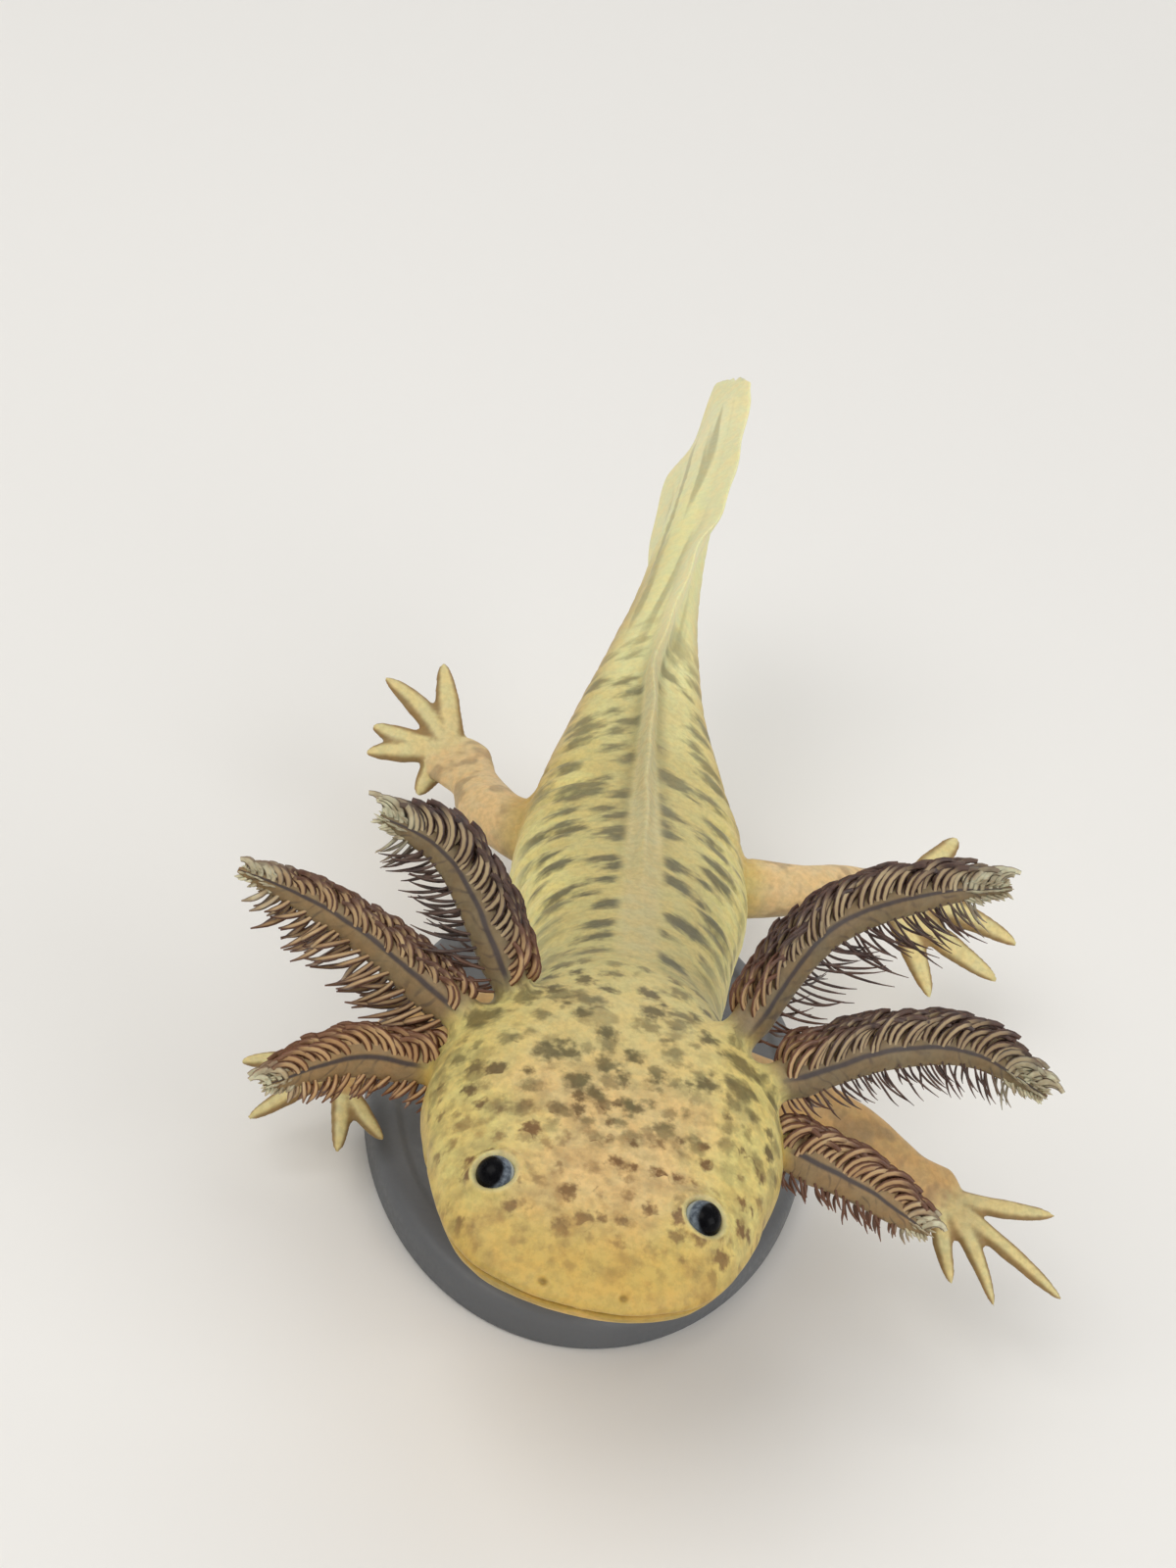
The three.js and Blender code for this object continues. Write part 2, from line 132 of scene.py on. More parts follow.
# A dense, smooth line through a few points, and its running length
def smoothLine(points):
    p = np.array(points, float)
    p = np.vstack([2 * p[0] - p[1], p, 2 * p[-1] - p[-2]])
    t = np.linspace(0, 1, perSpan, endpoint=False)[:, None]
    spans = []
    for i in range(1, len(p) - 2):
        p0, p1, p2, p3 = p[i - 1:i + 3]
        d0, d1, d2 = (np.linalg.norm(b - a) ** 0.5 for a, b in ((p0, p1), (p1, p2), (p2, p3)))
        m1 = ((p1 - p0) / d0 - (p2 - p0) / (d0 + d1) + (p2 - p1) / d1) * d1
        m2 = ((p2 - p1) / d1 - (p3 - p1) / (d1 + d2) + (p3 - p2) / d2) * d1
        curve = (3 * (p2 - p1) - 2 * m1 - m2) * t ** 2 + (2 * (p1 - p2) + m1 + m2) * t ** 3
        spans.append(p1 + m1 * t + curve)
    line = np.vstack(spans + [p[-2:-1]])
    length = np.concatenate([[0], np.cumsum(np.linalg.norm(np.diff(line, axis=0), axis=1))])
    return line, length


# Places and directions on a line, where key holds each sample's length or span number
def onLine(line, key, at):
    at = np.asarray(at, float)
    step = key[-1] * 0.004
    place, ahead, behind = (
        np.stack([np.interp(where, key, line[:, k]) for k in range(3)], axis=-1)
        for where in (at, np.minimum(at + step, key[-1]), np.maximum(at - step, 0))
    )
    return place, unit(ahead - behind)


# Faces between rings of equal counts
def bandFaces(count, size):
    faces = []
    for start in range(0, (count - 1) * size, size):
        for k in range(size):
            n = (k + 1) % size
            faces.append((start + k, start + n, start + size + n, start + size + k))
    return faces


# A closed shape over rings, with a point in the middle of each end
def loft(rings):
    rings = np.asarray(rings, float)
    count, size = rings.shape[:2]
    points = np.vstack([rings.reshape(-1, 3), rings[0].mean(0)[None], rings[-1].mean(0)[None]])
    faces = bandFaces(count, size)
    middle, last = count * size, (count - 1) * size
    for k in range(size):
        n = (k + 1) % size
        faces += [(middle, n, k), (middle + 1, last + k, last + n)]
    return points, faces


def smooth(mesh):
    mesh.polygons.foreach_set("use_smooth", [True] * len(mesh.polygons))


# A Blender object from points, with its faces turned outwards
def meshObject(name, points, faces):
    mesh = bpy.data.meshes.new(name)
    mesh.from_pydata([tuple(p) for p in points], [], faces)
    bm = bmesh.new()
    bm.from_mesh(mesh)
    bmesh.ops.recalc_face_normals(bm, faces=bm.faces)
    bm.to_mesh(mesh)
    bm.free()
    smooth(mesh)
    return linked(name, mesh)


def joined(name, parts):
    points, faces, start = [], [], 0
    for partPoints, partFaces in parts:
        points.append(partPoints)
        faces += [tuple(i + start for i in face) for face in partFaces]
        start += len(partPoints)
    return meshObject(name, np.vstack(points), faces)


# The object's mesh with its modifiers applied
def applyModifiers(made):
    depsgraph = bpy.context.evaluated_depsgraph_get()
    mesh = bpy.data.meshes.new_from_object(made.evaluated_get(depsgraph))
    old = made.data
    made.modifiers.clear()
    made.data = mesh
    bpy.data.meshes.remove(old)


# One property of each point or edge, as an array with a row for each
def arrayOf(items, key, width=3, kind=np.float32):
    values = np.empty(len(items) * width, kind)
    items.foreach_get(key, values)
    return values.reshape(-1, width)


def pointsOf(made):
    return arrayOf(made.data.vertices, "co").astype(float)


def setPoints(made, points):
    made.data.vertices.foreach_set("co", np.asarray(points, np.float32).ravel())
    made.data.update()


def edgesOf(made):
    return arrayOf(made.data.edges, "vertices", 2, np.int32)


# Rounds of moving each value towards its neighbours' mean, by a weight for each point
def relax(values, edges, weight, rounds):
    count = np.bincount(edges.ravel(), minlength=len(values))[:, None]
    values = values.copy()
    for _ in range(rounds):
        total = np.stack([
            np.bincount(edges[:, 0], values[edges[:, 1], k], len(values))
            + np.bincount(edges[:, 1], values[edges[:, 0], k], len(values))
            for k in range(values.shape[1])
        ], axis=1)
        values += weight[:, None] * (total / np.maximum(count, 1) - values)
    return values


def addAttribute(made, name, values):
    kind, key = ("FLOAT", "value") if values.ndim == 1 else ("FLOAT_VECTOR", "vector")
    layer = made.data.attributes.new(name, kind, "POINT")
    layer.data.foreach_set(key, values.astype(np.float32).ravel())


# Smooth shading, the body that a piece rides on and the nodes it stands for; its slot is not used
def enter(made, slot, *replaced):
    smooth(made.data)
    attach(made, "root")
    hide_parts(*replaced)


# Body, one tube from the snout to the tip of the tail, with its fins

body = {
    "length": 148.0,
    "spine": [
        (0, -52.9, 28.9), (0, -25, 26), (-0.2, -4.5, 21.7), (-1.3, 16.3, 18.9),
        (-2.7, 38.5, 20.7), (-2.3, 65.4, 28.3), (-0.2, 91.7, 37.6),
    ],
    "headLength": 28.0,
    "headPitch": 5.9,
    "headYaw": 1.2,
    "tailLean": 40.0,
    "tipRound": 1.1,
    "tipShear": -0.55,
    # distance from the snout, half width, top, bottom and height of the widest line
    "flesh": [
        (0, 0.2, -3.3, -3.8, -3.5), (0.3, 3.1, -2.7, -4.5, -3.47), (1.2, 5.7, -1.9, -5.2, -3.39),
        (2.6, 8.3, -1.0, -5.8, -3.27), (5, 10.3, 0.3, -6.4, -3.05), (9, 12.0, 1.9, -6.9, -2.7),
        (13, 13.2, 3.4, -7.2, -2.34), (19, 14.3, 5.4, -7.5, -1.8), (23.5, 14.0, 6.5, -7.4, -1.4),
        (26.5, 12.1, 6.9, -7.1, -1.13), (28.5, 10.1, 6.9, -6.9, -0.95), (36, 8.6, 6.2, -6.7, 0),
        (49, 9.7, 6.6, -7.2, 0), (61, 11.3, 6.8, -7.7, 0), (70, 11.1, 6.5, -7.1, 0),
        (80, 9.4, 5.8, -5.9, 0), (92, 6.75, 5.1, -4.8, 0), (109, 3.6, 4.2, -4.0, 0),
        (126, 1.9, 2.9, -2.8, 0), (140, 1.0, 1.7, -1.6, 0),
        (148, 0.4, 0.6, -0.6, 0),
    ],
    # distance from the snout, height of the fin
    "upperFin": [
        (46, 0), (53, 0.3), (61, 0.8), (78, 1.8), (96, 3.0), (115, 3.9), (130, 3.7), (140, 2.6), (148, 2.7),
    ],
    "lowerFin": [
        (82, 0), (88, 0.7), (96, 1.6), (112, 3.2), (128, 4.4), (134, 4.2), (139, 2.6), (148, 2.7),
    ],
    "finWidth": 0.62,
    "mouthHeight": -3.6,
    "mouthRise": 0.7,
    "mouthCorner": 12.0,
    # points of half a ring below and above the sides, taken from finer samples of its outline
    "lowerPoints": 22,
    "upperPoints": 35,
    "sideSamples": 70,
    "closeSamples": 90,
    "nearMiddle": 2.4,  # width of the fins' part, where samples are closer
}

spineLine, spineKey = smoothLine(body["spine"])


def headFrame():
    pitch, yaw = math.radians(-body["headPitch"]), math.radians(body["headYaw"])
    turn = Matrix.Rotation(pitch, 3, "X") @ Matrix.Rotation(yaw, 3, "Z")
    return np.array(body["spine"][1], float), np.array(turn)


neckPoint, headTurn = headFrame()


def fromHead(points):
    return neckPoint + np.asarray(points, float) @ headTurn.T


def toHead(points):
    return (points - neckPoint) @ headTurn


# Place, along, side and up of the body at distances from the snout
def bodyFrames(distance):
    place, along = onLine(spineLine, spineKey, distance)
    side = unit(np.cross(along, [0, 0, 1.0]))
    up = np.cross(side, along)
    lean = np.radians(body["tailLean"]) * smoothstep(distance, 92, 138)[:, None]
    side, up = side * np.cos(lean) - up * np.sin(lean), up * np.cos(lean) + side * np.sin(lean)
    behind = distance[:, None] - body["headLength"]
    share = smoothstep(distance, 24, 35)[:, None]
    place = fromHead(behind * [0, 1.0, 0]) * (1 - share) + place * share
    along = unit(headTurn[:, 1] * (1 - share) + along * share)
    side = unit(headTurn[:, 0] * (1 - share) + side * share)
    up = unit(headTurn[:, 2] * (1 - share) + up * share)
    return place, along, side, up


def mouthLine(distance):
    return body["mouthHeight"] + body["mouthRise"] * np.clip(distance / body["mouthCorner"], 0, 1)


# From 0 to 1 in even steps, closer together at the start or the end where the power is over 1
def bunched(count, atStart, atEnd):
    u = np.linspace(0, 1, count + 1)
    return u ** atStart / (u ** atStart + (1 - u) ** atEnd)


# One half of a ring from the belly's middle to the back's, as (out, up, arc, fin height)
def halfRing(distance, row, upper, lower):
    half, top, bottom, middle = row
    toBody = float(smoothstep(distance, 24, 36))
    outPower, upPower = 0.8 + 0.12 * toBody, 0.84 + 0.08 * toBody  # 1 would be an ellipse
    near = min(body["nearMiddle"], 0.7 * half)
    nearAngle = math.acos((near / half) ** (1 / outPower))
    close = np.arccos((np.linspace(near, 0, body["closeSamples"]) / half) ** (1 / outPower))
    angles = np.concatenate([np.linspace(0, nearAngle, body["sideSamples"])[:-1], close])
    sides = []
    for reach, fin, sign in ((middle - bottom, lower, -1), (top - middle, upper, 1)):
        out = half * np.cos(angles) ** outPower
        out[-1] = 0
        lift = fin * (0.84 * np.exp(-(out / body["finWidth"]) ** 2.2) + 0.16 * bell(out, 0, 2.0))
        sides.append((out, middle + sign * (reach * np.sin(angles) ** upPower + lift), lift))
    out, up, lift = (np.concatenate([sides[0][k][::-1], sides[1][k][1:]]) for k in range(3))
    arc = np.concatenate([[0], np.cumsum(np.hypot(np.diff(out), np.diff(up)))])
    sideHeight = mouthLine(distance) + (middle - mouthLine(distance)) * float(smoothstep(distance, 11, 19))
    sideArc = np.interp(sideHeight, up, arc)
    atMouth = 1 + 0.45 * float(1 - smoothstep(distance, 13, 22))
    atUpperFin = 1 + 0.5 * min(upper, 1)
    atLowerFin = 1 + 0.5 * min(lower, 1)
    wanted = np.concatenate([
        sideArc * bunched(body["lowerPoints"], atLowerFin, atMouth),
        sideArc + (arc[-1] - sideArc) * bunched(body["upperPoints"], atMouth, atUpperFin)[1:],
    ])
    return np.stack([np.interp(wanted, arc, value) for value in (out, up, arc, lift)], axis=1), arc[-1]


def ringDistances():
    places = [0.0]
    while places[-1] < body["length"] - 0.05:
        here = places[-1]
        step = 0.1 + 0.34 * float(smoothstep(here, 0, 5)) + 0.14 * float(smoothstep(here, 26, 40))
        step *= 1 - 0.75 * float(smoothstep(here, body["length"] - 4, body["length"]))
        places.append(here + step)
    return np.array(places[:-1] + [body["length"]])


# The tube's points and faces, how its points lie (distance, way round, low) and the fins' height at them
def bodyTube():
    distances = ringDistances()
    place, along, side, up = bodyFrames(distances)
    rows = between(body["flesh"], distances)
    upper, lower = (between(body[key], distances)[:, 0] for key in ("upperFin", "lowerFin"))
    toTip = np.clip((distances - body["length"] + body["tipRound"]) / body["tipRound"], 0, 1)
    square = (1 - toTip ** 3) ** 0.5
    rings, lie, fins = [], [], []
    for i, distance in enumerate(distances):
        ring, whole = halfRing(distance, rows[i], upper[i], lower[i])
        out, rise, arc, lift = ring.T
        sway = (0.3 * math.sin(distance / 3.1) + 0.2 * math.sin(distance / 1.7 + 1)) * lift / 4
        rise = rise * (0.4 + 0.6 * square[i])
        narrow = 0.15 + 0.85 * square[i]
        right = np.stack([out * narrow + sway, rise], axis=1)
        left = np.stack([-out * narrow + sway, rise], axis=1)[1:-1][::-1]
        flat = np.vstack([right, left])
        shear = body["tipShear"] * float(smoothstep(distance, body["length"] - 6, body["length"]))
        frayed = shear * (1 - square[i]) * (0.8 * np.sin(flat[:, 1] * 5.0) + 0.4 * np.sin(flat[:, 1] * 11.0))
        ahead = (shear * flat[:, 1] + frayed)[:, None] * along[i]
        rings.append(place[i] + flat[:, :1] * side[i] + flat[:, 1:] * up[i] + ahead)
        signed, low, fin = (
            np.concatenate([there, back[1:-1][::-1]])
            for there, back in ((whole - arc, arc - whole), (1 - arc / whole, 1 - arc / whole), (lift, lift))
        )
        lie.append(np.stack([np.full(len(signed), distance), signed, low], axis=1))
        fins.append(fin)
    points, faces = loft(rings)
    lie = np.vstack([np.vstack(lie), [[0, 0, 0.5], [body["length"], 0, 0.5]]])
    fins = np.concatenate([np.concatenate(fins), [0, 1.0]])
    return points, faces, lie, fins


# Legs

legs = {
    "armLeft": {
        "points": [(3.5, -17.2, 21.2), (19.6, -14.3, 16.8), (27.8, -16.2, 14.1), (31.8, -17.5, 12.5)],
        "palm": (30.7, -16.8, 12.9),
        "tilt": 25,
        "girth": 1.0,
        "slim": 0.85,
        "digits": [(5, 10.6), (-29, 13.7), (-55, 10.7), (-74, 8.0)],
    },
    "armRight": {
        "points": [(-3.5, -17.2, 21.0), (-15.2, -12.2, 15.4), (-20.8, -13.1, 10.2), (-24.0, -13.6, 7.9)],
        "palm": (-22.9, -13.3, 8.4),
        "tilt": 25,
        "girth": 1.0,
        "slim": 0.88,
        "digits": [(-174, 8.6), (-137, 9.0), (-76, 7.6), (-44, 7.6)],
    },
    "legLeft": {
        "points": [(6, 15.0, 17.4), (16.4, 18.3, 17.6), (22.9, 24.7, 15.2), (26.8, 26.8, 13.5)],
        "palm": (25.8, 26.2, 13.9),
        "tilt": 30,
        "girth": 1.0,
        "slim": 1.3,
        "digits": [(55, 10.5), (20, 12.4), (-7, 13.8), (-27, 13.6), (-60, 11.4)],
    },
    "legRight": {
        "points": [(-6, 15.4, 17.4), (-14.8, 21.0, 16.2), (-18.0, 28.2, 14.6), (-21.8, 34.6, 14.0)],
        "palm": (-21.2, 33.7, 14.0),
        "tilt": 30,
        "girth": 1.2,
        "slim": 1.25,
        "digits": [(-114, 5.9), (-168, 8.9), (171, 8.9), (140, 11.7), (107, 11.2)],
    },
}

legShape = {
    # joint number (0 root, 1 elbow or knee, 2 wrist or ankle, 3 end of the palm), half width and depth
    "limb": [
        (0, 3.5, 3.3), (0.5, 2.9, 2.75), (1, 2.5, 2.3), (1.35, 2.55, 2.15), (1.75, 2.25, 1.85),
        (2, 2.1, 1.55), (2.3, 2.5, 1.35), (2.6, 2.9, 1.2), (3, 2.3, 0.9),
    ],
    # share of the digit's length, half width and depth
    "digit": [
        (0, 1.6, 0.95), (0.2, 1.22, 0.78), (0.42, 1.08, 0.7), (0.62, 1.02, 0.62), (0.82, 0.8, 0.5),
        (0.95, 0.45, 0.3), (1, 0.12, 0.1),
    ],
    "sides": 20,
    "limbRings": 70,
    "digitRings": 26,
    "voxel": 0.25,
}


def ovalRing(place, side, up, width, depth, count):
    turn = fullTurn(count)
    return place + width * np.cos(turn)[:, None] * side + depth * np.sin(turn)[:, None] * up


# Closed parts of a leg, each with values for its points: joint number, and how near the side edge
def limbParts(leg):
    tilt = math.radians(leg["tilt"])
    normal = np.array([0, -math.sin(tilt), math.cos(tilt)])
    forward = np.array([0, math.cos(tilt), math.sin(tilt)])
    line, _ = smoothLine(leg["points"])
    key = np.arange(len(line)) / perSpan
    joints = np.linspace(0, 3, legShape["limbRings"])
    place, along = onLine(line, key, joints)
    sizes = between(legShape["limb"], joints)
    count = legShape["sides"]
    rings = []
    for i in range(len(joints)):
        up = unit(normal - np.dot(normal, along[i]) * along[i])
        side = np.cross(along[i], up)
        rings.append(ovalRing(place[i], side, up, sizes[i][0] * leg["girth"], sizes[i][1], count))
    values = np.stack([np.repeat(joints, count), np.zeros(len(joints) * count)], axis=1)
    parts = [loft(rings)]
    marks = [np.vstack([values, [[0, 0], [3, 0]]])]
    palm = np.array(leg["palm"])
    for number, (degrees, length) in enumerate(leg["digits"]):
        angle = math.radians(degrees)
        straight = math.cos(angle) * np.array([1.0, 0, 0]) + math.sin(angle) * forward
        side = np.cross(straight, normal)
        shares = 1 - (1 - np.linspace(0, 1, legShape["digitRings"])) ** 1.3
        sizes = between(legShape["digit"], shares)
        bow = 0.05 * length * math.sin(2.1 * number + 1)
        rings = []
        for share, (width, depth) in zip(shares, sizes):
            knuckle = 1 + 0.07 * math.exp(-((share - 0.55) / 0.06) ** 2)
            here = palm + straight * length * share + side * bow * math.sin(math.pi * share)
            here = here + normal * length * (0.12 * share * (1 - share) - 0.06 * share ** 2)
            rings.append(ovalRing(here, side, normal, width * knuckle * leg["slim"], depth * knuckle, count))
        parts.append(loft(rings))
        edge = np.abs(np.cos(fullTurn(count)))
        values = np.stack([np.repeat(3 + shares, count), np.tile(edge, len(shares))], axis=1)
        marks.append(np.vstack([values, [[3, 0], [4, 0]]]))
    return parts, np.vstack(marks)


# Rounds off a few joined closed shapes into one by a fine voxel remesh
def fused(name, parts, voxel, rounds):
    made = joined(name, parts)
    remesh = made.modifiers.new("fuse", "REMESH")
    remesh.mode = "VOXEL"
    remesh.voxel_size = voxel
    applyModifiers(made)
    points = pointsOf(made)
    setPoints(made, relax(points, edgesOf(made), np.full(len(points), 0.5), rounds))
    return made


# Gill stalks

gills = {
    # points of each stalk in the head's own frame
    "paths": {
        "left_upper": [(8.4, -1.6, 4.0), (15.5, 8.1, 12.1), (23.0, 11.2, 15.2), (29.6, 13.3, 16.3)],
        "left_middle": [(11, -3.6, 2.2), (22.3, 3.8, 4.3), (29.5, 5.9, 4.2), (35.9, 4.6, 2.5)],
        "left_lower": [(11.6, -5.2, -1.0), (20.5, -4, -3.9), (28.1, -3.9, -7.4)],
        "right_upper": [(-8.4, -1.6, 4.0), (-13.6, 3.1, 9.8), (-17.3, 5.1, 12.6), (-22.7, 6.2, 13.9)],
        "right_middle": [(-11, -3.6, 2.2), (-20.5, 1.6, 4.8), (-27, 3.9, 6.2), (-33, 4, 7.5)],
        "right_lower": [(-11.6, -5.2, -1.0), (-20, -4.3, -2.2), (-26.9, -7.7, -4.5)],
    },
    "rise": (0, 0.5, 0.87),  # the way the upper comb stands, in the head's frame
    # share of the length, half height and half thickness of the stalk
    "stalk": [
        (0, 2.3, 1.7), (0.15, 2.0, 1.15), (0.4, 1.75, 0.8), (0.75, 1.2, 0.52), (0.93, 0.65, 0.33),
        (1, 0.2, 0.15),
    ],
    "rings": 80,
    "sides": 22,
}
# for each gill: lengths of comb, hairs and frayed tip, breadth of the hairs, orange-brown tint
fringeSizes = {
    "left_upper": {"Comb": 0.94, "Hairs": 1.15, "Tips": 1.0, "Leaf": 1.0, "Warmth": 0.05},
    "left_middle": {"Comb": 0.92, "Hairs": 0.75, "Tips": 1.0, "Leaf": 0.9, "Warmth": 0.05},
    "left_lower": {"Comb": 0.85, "Hairs": 0.5, "Tips": 0.8, "Leaf": 1.2, "Warmth": 0.45},
    "right_upper": {"Comb": 0.9, "Hairs": 1.0, "Tips": 1.0, "Leaf": 1.2, "Warmth": 0.0},
    "right_middle": {"Comb": 0.6, "Hairs": 1.0, "Tips": 0.8, "Leaf": 2.2, "Warmth": 0.3},
    "right_lower": {"Comb": 0.75, "Hairs": 0.5, "Tips": 0.8, "Leaf": 2.0, "Warmth": 0.6},
}


# Places, directions and sizes along a gill, from its root to its tip
def gillFrames(name, shares):
    line, key = smoothLine(fromHead(gills["paths"][name]))
    place, along = onLine(line, key, shares * key[-1])
    rise = headTurn @ np.array(gills["rise"])
    rise = unit(rise - (along @ rise)[:, None] * along)
    across = np.cross(along, rise)
    return place, along, rise, across


# A stalk, with values for its points: share of the length, and how high on it, from -1 to 1
def gillStalk(name):
    shares = 1 - (1 - np.linspace(0, 1, gills["rings"])) ** 1.2
    place, _, rise, across = gillFrames(name, shares)
    sizes = between(gills["stalk"], shares)
    count = gills["sides"]
    rings = [ovalRing(place[i], rise[i], across[i], *sizes[i], count) for i in range(len(shares))]
    high = np.cos(fullTurn(count))
    marks = np.stack([np.repeat(shares, count), np.tile(high, len(shares))], axis=1)
    return (*loft(rings), np.vstack([marks, [[0, 0], [1, 0]]]))


# Skin

skin = {
    "junction": 3.4,  # how far the rounding between body and limbs reaches
    "rounds": 34,
    "eyeSide": 7.8,
    "eyeAlong": 8.0,
    "eyeHeight": 0.75,
    "eyeRadius": 1.5,
    "eyeAxis": (0.60, -0.53, 0.60),
    "nostril": (3.0, 0.9, -2.3),  # side, distance from the snout, height
    # depths and heights of the fine forms
    "lipDepth": 0.42,
    "lipRise": 0.14,
    "lowerLipDepth": 0.24,
    "cornerDepth": 0.22,
    "eyeRimRise": 0.4,
    "eyeMoundRise": 0.3,
    "eyeSocketDepth": 0.8,
    "nostrilRise": 0.05,
    "nostrilDepth": 0.34,
    "cheekRise": 0.4,
    "crownDepth": 0.22,
    "throatRise": 0.4,
    "throatDepth": 0.7,
    "neckDepth": 0.4,
    "muscleDepth": 0.07,
    "sideLineDepth": 0.12,
    "broadWaves": (7.0, 0.14),  # size and height
    "fineWaves": (1.6, 0.035),
    "costalSpacing": 2.75,
    "costalDepth": 0.22,
}


# Nearest source point and its distance for each point
def nearest(sources, points):
    tree = kdtree.KDTree(len(sources))
    for i, point in enumerate(sources):
        tree.insert(point, i)
    tree.balance()
    found = [tree.find(point) for point in points]
    return np.array([f[1] for f in found]), np.array([f[2] for f in found])


def eyeCentre(sign):
    return np.array([sign * skin["eyeSide"], skin["eyeAlong"] - body["headLength"], skin["eyeHeight"]])


# Eyes, nostrils and mouth corners with how far the finer faces reach, once for each round of them
def faceSpots():
    side, along, height = skin["nostril"]
    corner = body["mouthCorner"] + 0.5
    coarse, fine = [], []
    for sign in (-1, 1):
        nostril = np.array([sign * side, along - body["headLength"], height])
        coarse += [(eyeCentre(sign), 3.2), (nostril, 1.1)]
        coarse.append((np.array([sign * 12.6, corner - body["headLength"], -3.1]), 1.8))
        fine += [(eyeCentre(sign), 2.4), (nostril, 0.7)]
    return coarse, fine


# Finer faces round the eyes, nostrils and mouth corners
def refineFace(made):
    bm = bmesh.new()
    bm.from_mesh(made.data)
    for spots in faceSpots():
        chosen = set()
        for face in bm.faces:
            centre = toHead(np.array(face.calc_center_median()))
            if any(np.linalg.norm(centre - spot) < reach for spot, reach in spots):
                chosen.update(face.edges)
        bmesh.ops.subdivide_edges(bm, edges=list(chosen), cuts=1, use_grid_fill=True)
    bm.to_mesh(made.data)
    bm.free()


# Outward moves, in millimetres, that give the head its lips, eye rims, nostrils and folds
def headRelief(points, low):
    x, y, z = toHead(points).T
    distance = y + body["headLength"]
    above = z - mouthLine(distance)
    reach = 1 - smoothstep(distance, body["mouthCorner"] - 1.4, body["mouthCorner"] + 0.9)
    move = -skin["lipDepth"] * bell(above, 0, 0.17) * reach
    move += skin["lipRise"] * bell(above, 0.6, 0.36) * reach
    move -= skin["lowerLipDepth"] * within(-above, 0.05, 0.5, 1.6, 3.4) * reach
    corner = bell(distance, body["mouthCorner"] + 0.9, 0.45) * bell(above, -0.35, 0.9) * (np.abs(x) > 8)
    move -= skin["cornerDepth"] * corner
    for sign in (-1, 1):
        axis = unit(np.array(skin["eyeAxis"]) * [sign, 1, 1])
        offset = toHead(points) - eyeCentre(sign)
        out = offset @ axis
        radius = np.linalg.norm(offset - out[:, None] * axis, axis=1)
        close = (np.abs(out) < 4) * 1.0
        raised = skin["eyeRimRise"] * bell(radius, 1.72, 0.42) + skin["eyeMoundRise"] * bell(radius, 0, 3.4)
        move += close * raised
        move -= close * skin["eyeSocketDepth"] * (1 - smoothstep(radius, 0.85, 1.36))
        side, along, height = skin["nostril"]
        apart = np.sqrt((x - sign * side) ** 2 + (distance - along) ** 2 + ((z - height) * 1.5) ** 2)
        move += skin["nostrilRise"] * bell(apart, 0.6, 0.25) - skin["nostrilDepth"] * bell(apart, 0, 0.33)
        cheek = bell(x * sign, 8.6, 3.2) * bell(distance, 18.5, 4.6)
        move += skin["cheekRise"] * cheek * (1 - smoothstep(low, 0.3, 0.5))
    onTop = 1 - smoothstep(low, 0.2, 0.4)
    move -= skin["crownDepth"] * bell(x, 0, 1.7) * bell(distance, 19, 5) * onTop
    beneath = smoothstep(low, 0.56, 0.7)
    fold = distance + 0.018 * x ** 2
    ridge = skin["throatRise"] * bell(fold, 24.4, 1.1)
    move += beneath * (ridge - skin["throatDepth"] * bell(fold, 26.2, 0.5))
    sides = within(low, 0.2, 0.34, 0.72, 0.82)
    move -= skin["neckDepth"] * bell(distance, 28.4, 0.7) * sides
    return move


# Outward moves for the grooves between ribs and the muscle bands of the tail
def bodyRelief(along, low, fin):
    flank = within(low, 0.16, 0.3, 0.7, 0.86)
    trunk = within(along, 40, 46, 78, 84)
    slanted = along + 1.6 * (low - 0.5)
    groove = np.exp(-(np.sin(np.pi * slanted / skin["costalSpacing"]) / 0.34) ** 2)
    move = -skin["costalDepth"] * groove * flank * trunk
    tail = within(along, 82, 90, 128, 142) * (1 - fin)
    chevron = along + 5.0 * np.abs(low - 0.5)
    band = np.exp(-(np.sin(np.pi * chevron / 2.5) / 0.4) ** 2)
    tail = tail * within(low, 0.08, 0.2, 0.8, 0.92)
    move -= skin["muscleDepth"] * band * tail
    line = bell(low, 0.47, 0.03) * within(along, 40, 60, 120, 136)
    return move - skin["sideLineDepth"] * line


# Masks for the pale rim round the eyes, the dark nostrils and the warmer gills
def faceMarks(points, warmth):
    x, y, z = toHead(points).T
    side, along, height = skin["nostril"]
    marks = np.zeros((len(points), 3))
    marks[:, 2] = warmth
    for sign in (-1, 1):
        apart = np.linalg.norm(toHead(points) - eyeCentre(sign), axis=1)
        marks[:, 0] += 1 - smoothstep(apart, 1.5, 1.95)
        offset = np.stack([x - sign * side, y + body["headLength"] - along, (z - height) * 1.5], axis=1)
        marks[:, 1] += 1 - smoothstep(np.linalg.norm(offset, axis=1), 0.15, 0.45)
    return marks


def unevenness(points):
    (broadSize, broadRise), (fineSize, fineRise) = skin["broadWaves"], skin["fineWaves"]
    broad = np.array([noise.noise(Vector(p) / broadSize) for p in points])
    fine = np.array([noise.noise(Vector(p) / fineSize + Vector((9, 3, 5))) for p in points])
    return broadRise * broad + fineRise * fine


